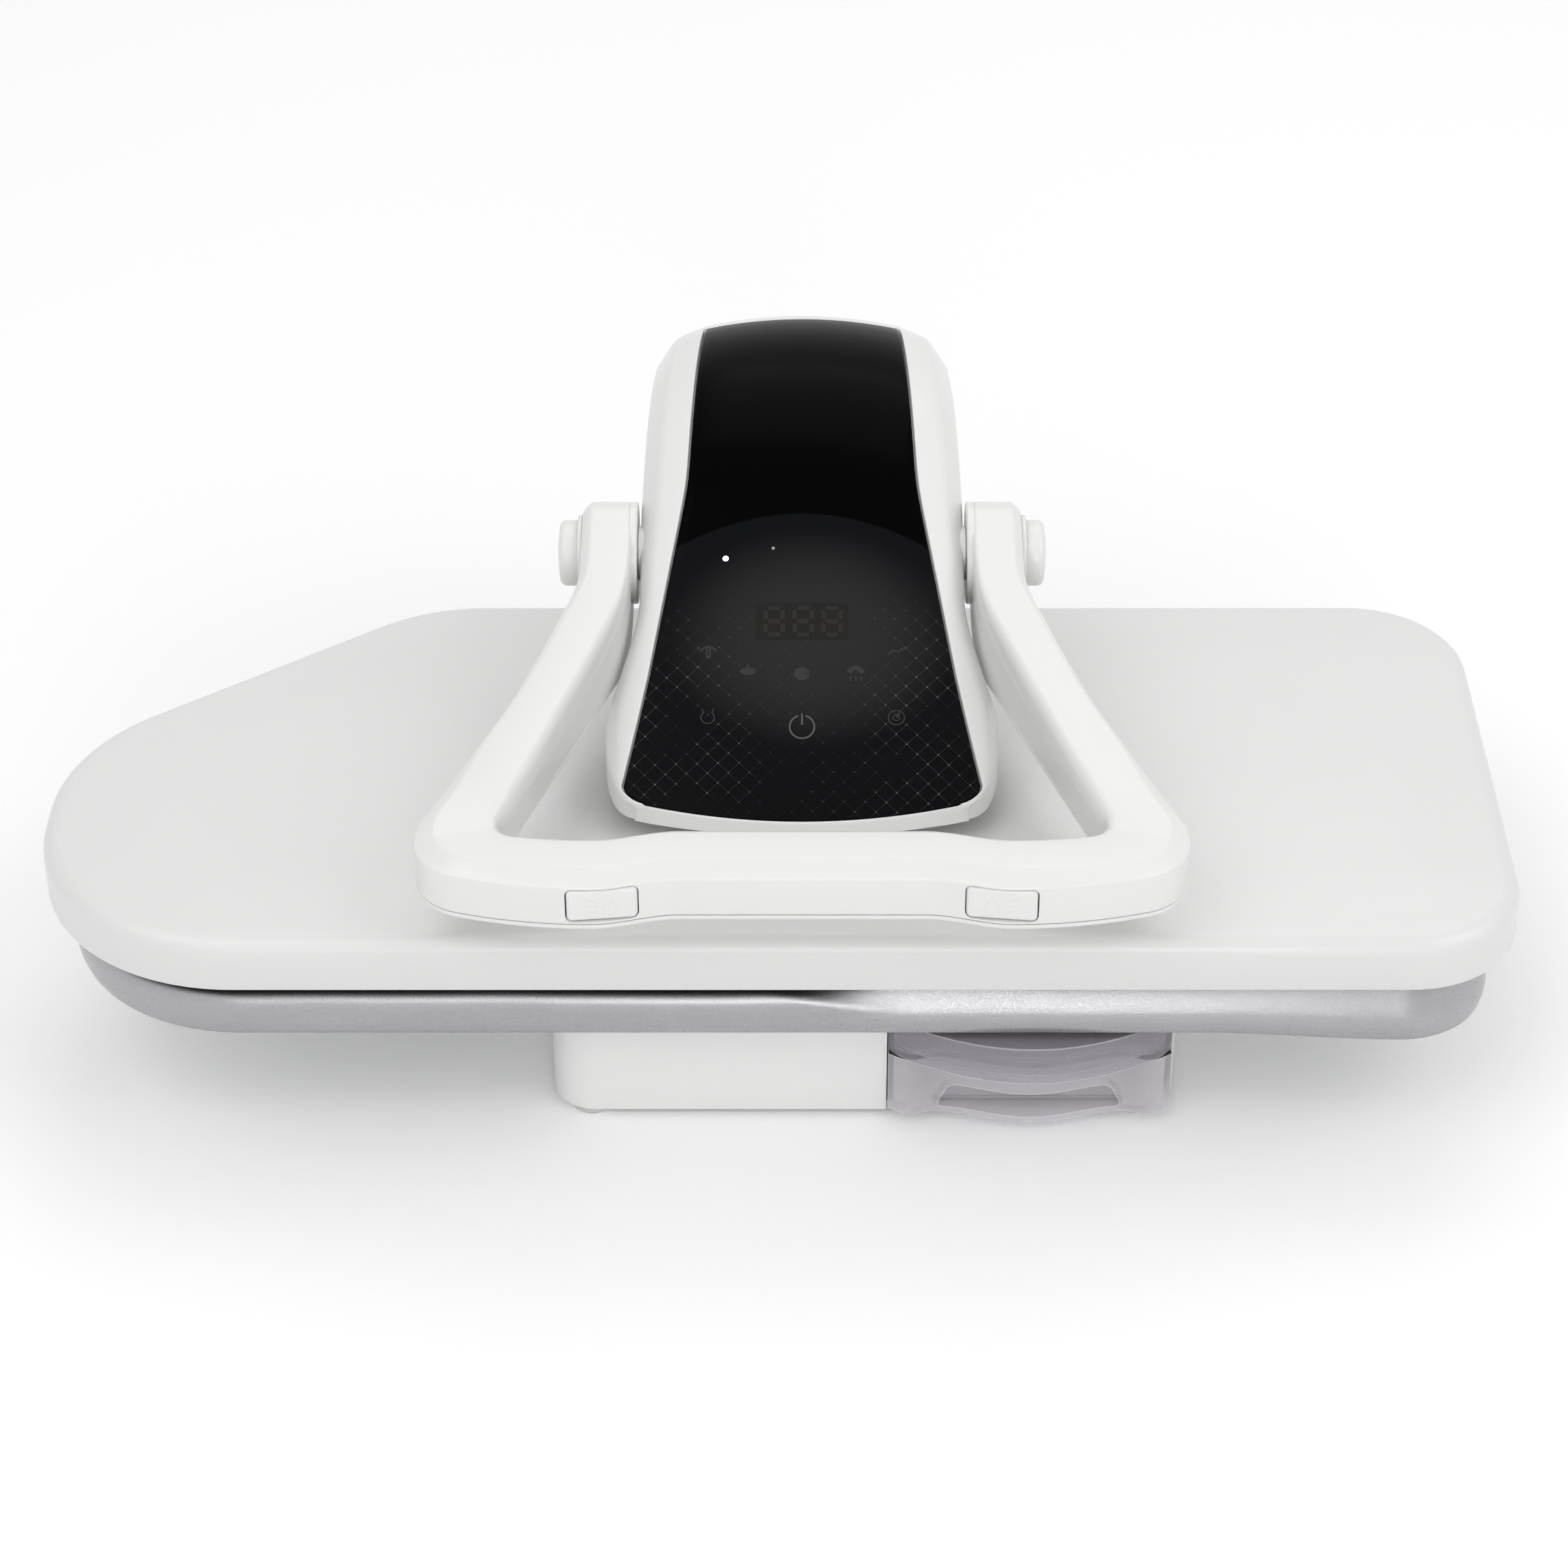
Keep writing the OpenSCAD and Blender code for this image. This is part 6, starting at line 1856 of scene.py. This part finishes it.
@dataclass
class PaddedBoard:
    """The foam board in its silver cover, drawn in by a hem underneath."""

    inset: float = 10.0
    low: float = 60.7
    high: float = 92.1
    fabric: float = 1.2
    hem_w: float = 14.0
    droop: float = 4.0
    droop_start: float = 189.0
    droop_end: float = 276.0
    spacing: float = 3.0
    fold_start: float = -10.0
    fold_end: float = 54.0
    fold_top: Flat = (7.3, 0.7925)
    fold_low: float = 0.34
    hem_slack: float = 0.4
    hem_lip: float = 3.9
    crown_inset: float = 40.0
    stitch_inset: float = 10.5
    stitch_pitch: float = 0.0042

    def profile(self, x: float) -> list[Flat]:
        """Gives the side of the board as inset and height share.

        Args:
            x: Place along the board. The side is round on the left, and on the right it is pulled into a flat
                facet over a crease.

        Returns:
            Pairs from the crown down to the hem.
        """
        top_inset, top_share = self.fold_top
        reach = clamp01((x - self.fold_start) / (self.fold_end - self.fold_start))
        crease = lerp(top_share - 0.01, self.fold_low, reach)
        over = max(k for k, (_, share) in enumerate(BOARD_SIDE) if share > crease)
        (first, upper), (second, lower) = BOARD_SIDE[over], BOARD_SIDE[over + 1]
        foot = lerp(first, second, (upper - crease) / (upper - lower))
        line = []
        for inset, share in BOARD_SIDE:
            if crease < share < top_share:
                inset = max(inset, lerp(top_inset, foot, (top_share - share) / (top_share - crease)))
            line.append((inset, share))
        return line

    def ripple(self, spot: Vector, share: float) -> float:
        """Gives the small folds of the cover, outward in millimetres."""
        band = 4.0 * share * (1.0 - share)
        long = math.sin(spot.x / 41.0 + 1.3 * math.sin(spot.x / 97.0)) * math.sin(3.0 * share + spot.y / 60.0)
        fine = math.sin(spot.x / 13.0 + 4.0 * share + spot.y / 17.0) * math.sin(spot.x / 71.0 + 0.6)
        return band * (0.3 * long + 0.12 * fine)

    def sag(self, x: float) -> float:
        """Gives how far the cover hangs down at a place along the board."""
        return self.droop * ease((x - self.droop_start) / (self.droop_end - self.droop_start))

    def side(self) -> list[Row]:
        """Gives the rings of the side, with the slanting crease that starts near the middle."""
        edge = OUTLINE.ring(self.inset, 0.0, self.spacing)
        inner = OUTLINE.ring(self.inset + 1.0, 0.0, self.spacing)
        columns = []
        for spot, within in zip(edge, inner):
            inward = within - spot
            sag = self.sag(spot.x)
            column = []
            for inset, share in self.profile(spot.x):
                height = lerp(self.low, self.high, share) - sag * (1.0 - share)
                column.append(spot + inward * (inset - self.ripple(spot, share)) + Vector((0.0, 0.0, height)))
            columns.append(column)
        return [list(ring) for ring in zip(*columns)]

    def hem_ring(self, inset: float, height: float, gather: float) -> Row:
        """Gives a ring of the drawn-in hem, with its gathers."""
        ring = OUTLINE.ring(self.inset + inset, height, self.spacing)
        made = []
        for k, spot in enumerate(ring):
            sag = self.hem_slack * self.sag(spot.x)
            made.append(spot + Vector((0.0, 0.0, gather * math.sin(2.2 * k) - sag)))
        return made

    def cushion(self) -> Piece:
        """Builds the padded board as one closed form."""
        inside = self.low + self.fabric
        hem = ((8.0, self.low, 0.12), (self.hem_w, self.low, 0.2), (self.hem_w, inside, 0.0),
               (self.hem_lip, inside, 0.0))
        rings = [OUTLINE.ring(self.inset + self.crown_inset, self.high, self.spacing)]
        rings += self.side()
        rings += [self.hem_ring(*place) for place in hem]
        rings.append(OUTLINE.ring(self.inset + self.hem_lip, self.low + 3.0, self.spacing))
        return Draft().rings(rings).object("padded_board_cover", sharp=60.0)

    def stitches(self) -> Piece:
        """Builds the row of stitches along the hem."""
        rows = []
        for along, radius in ((-1.5, 0.12), (-1.1, 0.28), (1.1, 0.28), (1.5, 0.12)):
            rows.append([Vector((along, *turn_point(radius, 60.0 * k))) for k in range(6)])
        thread = Draft().rings(rows).object("hem_thread")
        ring = self.hem_ring(self.stitch_inset, self.low - 0.05, 0.16)
        repeat = Repeat("hem_stitches", thread, CLOTH, self.stitch_pitch)
        made = repeat.build("hem_stitching", ring, closed=True)
        bpy.data.objects.remove(thread)
        return made

    def build(self) -> None:
        """Builds and dresses the board's soft pieces."""
        cushion = dress(self.cushion(), "base", "silver_fabric", CLOTH, "board_cover", "foam_pad")
        dress(self.stitches(), "base", "silver_fabric", CLOTH)


# Base, tank and screws


FLOOR_SCREWS: Sequence[Flat] = ((-88.0, -106.5), (-88.0, 128.5), (168.0, 128.5), (36.0, -106.5))
UNDERCOVER_SCREWS: Sequence[Flat] = ((-55.0, -77.5), (79.0, -77.5), (-14.0, 22.5), (38.0, 22.5))


@dataclass
class Base:
    """The base's shell and feet, the water tank, and the screws under the base and the arm."""

    edge: float = 1.2
    floor_screw_z: float = 3.1
    undercover_screw_z: float = 130.5

    def screw(self, radius: float, shank: float, length: float, name: str) -> Piece:
        """Builds a screw with a cross recess, its head down.

        Args:
            radius: Radius of the head.
            shank: Radius of the shank.
            length: Length of the shank.
            name: The shape's name.

        Returns:
            The screw, with its head's face at the origin.
        """
        profile = ((0.0, 0.5 * radius), (0.12, 0.86 * radius), (0.35, radius), (1.0, radius), (1.1, shank),
                   (length, shank), (length + 1.0, 0.3 * shank))
        rings = [[Vector((*turn_point(wide, 15.0 * k), along)) for k in range(24)] for along, wide in profile]
        head = Draft().rings(rings).object(name, 40.0)
        square = ((1, -1), (1, 1), (-1, 1), (-1, -1))
        for wide, deep in ((0.62, 0.16), (0.16, 0.62)):
            slot = [[Vector((sx * wide * radius * taper, sy * deep * radius * taper, z)) for sx, sy in square]
                    for z, taper in ((-0.5, 1.0), (0.8, 0.6))]
            cut(head, Draft().rings(slot).object("slot"))
        return head

    def screws(self, body: str, node: str, spots: Row, size: tuple[float, float, float]) -> None:
        """Builds and dresses a set of screws in place of a solid.

        Args:
            body: The body they ride on.
            node: The solid they stand for.
            spots: The middles of the heads' faces.
            size: Radius of the head, radius of the shank and length of the shank.
        """
        name = node[:-1] + "_set"
        shape = self.screw(*size, name + "_shape")
        made = Repeat(name, shape, STEEL).build(name, spots)
        bpy.data.objects.remove(shape)
        dress(made, body, "steel", STEEL, node)

    def build(self) -> None:
        """Builds and dresses the base's pieces."""
        case = refined("base_shell", "base_case", self.edge, segments=3)
        # The base's white is a lighter copy that stands in for light bounced up from the floor.
        dress(case, "base", "white_plastic", BOUNCE_LIT_WHITE, "base_shell")
        feet = refined("rubber_feet", "foot_pads", width=0.5)
        dress(feet, "base", "rubber", PALE_RUBBER, "rubber_feet")
        vessel = refined("tank_body", "tank_vessel", width=0.7)
        # The tank's body takes the paler copy that stands in for light shining through it.
        dress(vessel, "tank", "smoky_tank", BACKLIT_SMOKE, "tank_body")
        lid = refined("tank_lid", "tank_cover", width=0.9, segments=3)
        dress(lid, "tank", "smoky_tank", SMOKE, "tank_lid")
        cap = refined("tank_cap", "filler_cap", width=0.6)
        dress(cap, "cap", "smoky_tank", SMOKE, "tank_cap")
        floor_spots = [Vector((*spot, self.floor_screw_z)) for spot in FLOOR_SCREWS]
        self.screws("base", "floor_screws", floor_spots, (3.2, 1.6, 11.0))
        under_spots = [Vector((*spot, self.undercover_screw_z)) for spot in UNDERCOVER_SCREWS]
        self.screws("arm", "undercover_screws", under_spots, (3.4, 1.8, 13.0))


# Lift springs


@dataclass
class LiftSpring:
    """One of the two coiled springs on the axle, from its foot round the coil to the end of its leg."""

    side: float
    mid_x: float = MID_X
    hinge_y: float = HINGE_Y
    hinge_z: float = 105.0
    start_x: float = 3.2
    pitch: float = 4.0
    turns: float = 3.25
    coil_r: float = 12.0
    wire_r: float = 1.6
    foot_y: float = 158.9
    foot_bend_y: float = 149.9
    leg_end: Flat = (111.7, 152.0)
    steps: int = 78

    @property
    def end_x(self) -> float:
        """Gives where the coil ends along the axle."""
        return self.start_x + self.pitch * self.turns

    def path(self) -> Row:
        """Gives the wire's middle line from the foot to the leg's end."""
        low = self.hinge_z - self.coil_r
        line = [(self.start_x, self.foot_y, low), (self.start_x, self.foot_bend_y, low)]
        for k in range(self.steps + 1):
            turned = self.turns * k / self.steps
            down, ahead = turn_point(self.coil_r, 360.0 * turned)
            line.append((self.start_x + self.pitch * turned, self.hinge_y - ahead, self.hinge_z - down))
        line.append((self.end_x, *self.leg_end))
        return [Vector((self.mid_x + self.side * x, y, z)) for x, y, z in line]

    def build(self) -> None:
        """Builds the wire in place."""
        line = self.path()
        circle = [turn_point(self.wire_r, 36.0 * q) for q in range(10)]
        rings = []
        for k, spot in enumerate(line):
            along = (line[min(k + 1, len(line) - 1)] - line[max(k - 1, 0)]).normalized()
            out = along.cross(Vector((1.0, 0.0, 0.0))).normalized()
            up = out.cross(along)
            rings.append([spot + out * a + up * b for a, b in circle])
        wire = Draft().rings(rings).object(f"lift_spring_{side_word(self.side)}", sharp=60.0)
        wire.data.materials.append(material_of(STEEL))
        margin = self.wire_r + 0.1
        ends = [Vector((self.mid_x + self.side * x, self.hinge_y, self.hinge_z)) * MM
                for x in (self.start_x + margin, self.end_x - margin)]
        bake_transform(wire)
        if self.side < 0:
            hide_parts("lift_springs")
        LOG.info("%s twists between base and arm, %d faces", wire.name, len(wire.data.polygons))


# Solids that show as they are


NODE_FINISHES: dict[str, Finish] = {
    "floor_plate": GREY, "hinge_tower": DARK_STEEL, "tower_bolts": STEEL, "hinge_axle": STEEL,
    "axle_clips": DARK_STEEL, "board_pan": PAN_STEEL, "board_screws": STEEL, "water_pump": GREY,
    "pump_hose": RUBBER, "tank_socket": GREY, "power_board": GREEN_BOARD, "cord_gland": RUBBER,
    "tank_seal": RUBBER, "tank_valve": GREY, "arm_undercover": WHITE, "control_board": GREEN_BOARD,
    "display_module": DISPLAY, "touch_pads": STEEL, "arm_frame": DARK_STEEL, "hinge_bushes": BRASS,
    "shaft_bushes": BRASS, "guide_block": ALUMINIUM, "handle_shaft": STEEL, "pressure_cams": STEEL,
    "button_switches": RUBBER, "insulation_mat": FOAM, "cover_clips": STEEL, "sole_plate": NON_STICK,
    "heating_element": DARK_STEEL, "steam_chamber": ALUMINIUM, "thermostat": GREY, "thermal_fuse": BRASS,
    "press_column": STEEL, "return_spring": STEEL,
}


def finish_solids() -> None:
    """Gives the solids that show as they are their finish."""
    for node, finish in NODE_FINISHES.items():
        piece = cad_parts[node]
        piece.data.materials.clear()
        piece.data.materials.append(material_of(finish))
        LOG.info("%s keeps its solid", node)


# Studio


PHOTO_SIDE = 1568.0
FOCAL_LENGTH = 3890.0
SENSOR = 36.0


@dataclass
class Studio:
    """Pale floor, soft light and the camera."""

    floor_size: float = 14.0
    floor_colour: Colour = (0.95, 0.95, 0.95)
    floor_bounce: float = 0.96
    floor_lift: Colour = (0.11, 0.11, 0.11)
    lens: float = FOCAL_LENGTH / PHOTO_SIDE * SENSOR
    stand: tuple[float, float, float] = (0.012, -1.5026, 1.136)
    tilt: float = 54.9
    shift: float = -18.0 / PHOTO_SIDE
    daylight: float = 0.6
    target: tuple[float, float, float] = (0.0, 0.0, 0.1)

    def floor(self) -> None:
        """Lays the floor."""
        half = self.floor_size / 2 / MM
        rows = [[Vector((x, y, 0.0)) for x in (-half, half)] for y in (-half, half)]
        floor = Draft().sheet(rows).object("studio_floor")
        shade = Shade("studio_paper")
        fibre = shade.noise(shade.place(), 300.0, 2.0)
        paper = shade.tones(fibre, self.floor_colour, 0.995, 1.0)
        kinds = ("Camera", "Glossy", "Transmission")
        rays = [shade.node("ShaderNodeLightPath", out=f"Is {kind} Ray") for kind in kinds]
        seen = rays[0].most(rays[1]).most(rays[2])
        paper = shade.mix(seen, shaded(self.floor_colour, self.floor_bounce), paper)
        lift = shade.mix(seen, (0.0, 0.0, 0.0), self.floor_lift)
        floor.data.materials.append(shade.finish({
            "Base Color": paper,
            "Roughness": 0.9,
            "Specular IOR Level": 0.1,
            "Emission Color": lift,
            "Emission Strength": 1.0,
        }))

    def lamp(self, name: str, place: tuple[float, float, float], size: float, power: float) -> None:
        """Hangs one soft lamp that faces the press.

        Args:
            name: Its name.
            place: Where it hangs, in metres.
            size: Its width in metres.
            power: Its power in watts.
        """
        light = bpy.data.lights.new(name, "AREA")
        light.shape = "SQUARE"
        light.size = size
        light.energy = power
        lamp = linked(name, light)
        lamp.location = place
        aim = Vector(self.target) - Vector(place)
        lamp.rotation_euler = aim.to_track_quat("-Z", "Y").to_euler()

    def world(self) -> None:
        """Lights the scene evenly and shows white behind the floor."""
        world = bpy.data.worlds.new("studio_world")
        bpy.context.scene.world = world
        world.use_nodes = True
        nodes, links = world.node_tree.nodes, world.node_tree.links
        back = nodes["Background"]
        back.inputs["Color"].default_value = (1.0, 1.0, 1.0, 1.0)
        rays = nodes.new("ShaderNodeLightPath")
        seen = rays.outputs["Is Camera Ray"]
        for ray in ("Is Glossy Ray", "Is Transmission Ray"):
            most = nodes.new("ShaderNodeMath")
            most.operation = "MAXIMUM"
            links.new(seen, most.inputs[0])
            links.new(rays.outputs[ray], most.inputs[1])
            seen = most.outputs[0]
        level = nodes.new("ShaderNodeMapRange")
        level.inputs["To Min"].default_value = self.daylight
        level.inputs["To Max"].default_value = 1.0
        links.new(seen, level.inputs["Value"])
        links.new(level.outputs[0], back.inputs["Strength"])

    def camera(self) -> None:
        """Sets the camera where the photograph was taken."""
        data = bpy.data.cameras.new("photo_camera")
        data.sensor_width = SENSOR
        data.lens = self.lens
        data.shift_x = self.shift
        camera = linked("photo_camera", data)
        camera.location = self.stand
        camera.rotation_euler = (math.radians(self.tilt), 0.0, 0.0)
        bpy.context.scene.camera = camera

    def build(self) -> None:
        """Builds the studio."""
        bpy.context.scene.view_settings.view_transform = "Standard"
        self.camera()
        self.floor()
        self.world()
        self.lamp("key_left", (-1.3, -1.3, 2.4), size=2.2, power=17.5)
        self.lamp("fill_right", (1.9, -0.9, 1.9), size=1.8, power=14.5)
        self.lamp("top_back", (0.3, 1.5, 2.4), size=2.0, power=12.0)
        self.lamp("front", (0.1, -2.3, 0.8), size=0.9, power=7.5)


def main() -> None:
    """Builds the press's pieces in order and the studio round them."""
    logging.basicConfig(level=logging.INFO, format="%(message)s")
    Studio().build()
    HeatedPlate().build()
    arm = Arm()
    arm.build()
    PanelMarks(arm).build()
    handle = Handle()
    handle.build()
    for side in SIDES:
        SteamButton(handle, side).build()
    PaddedBoard().build()
    Base().build()
    for side in SIDES:
        LiftSpring(side).build()
    finish_solids()


if __name__ == "__main__":
    main()
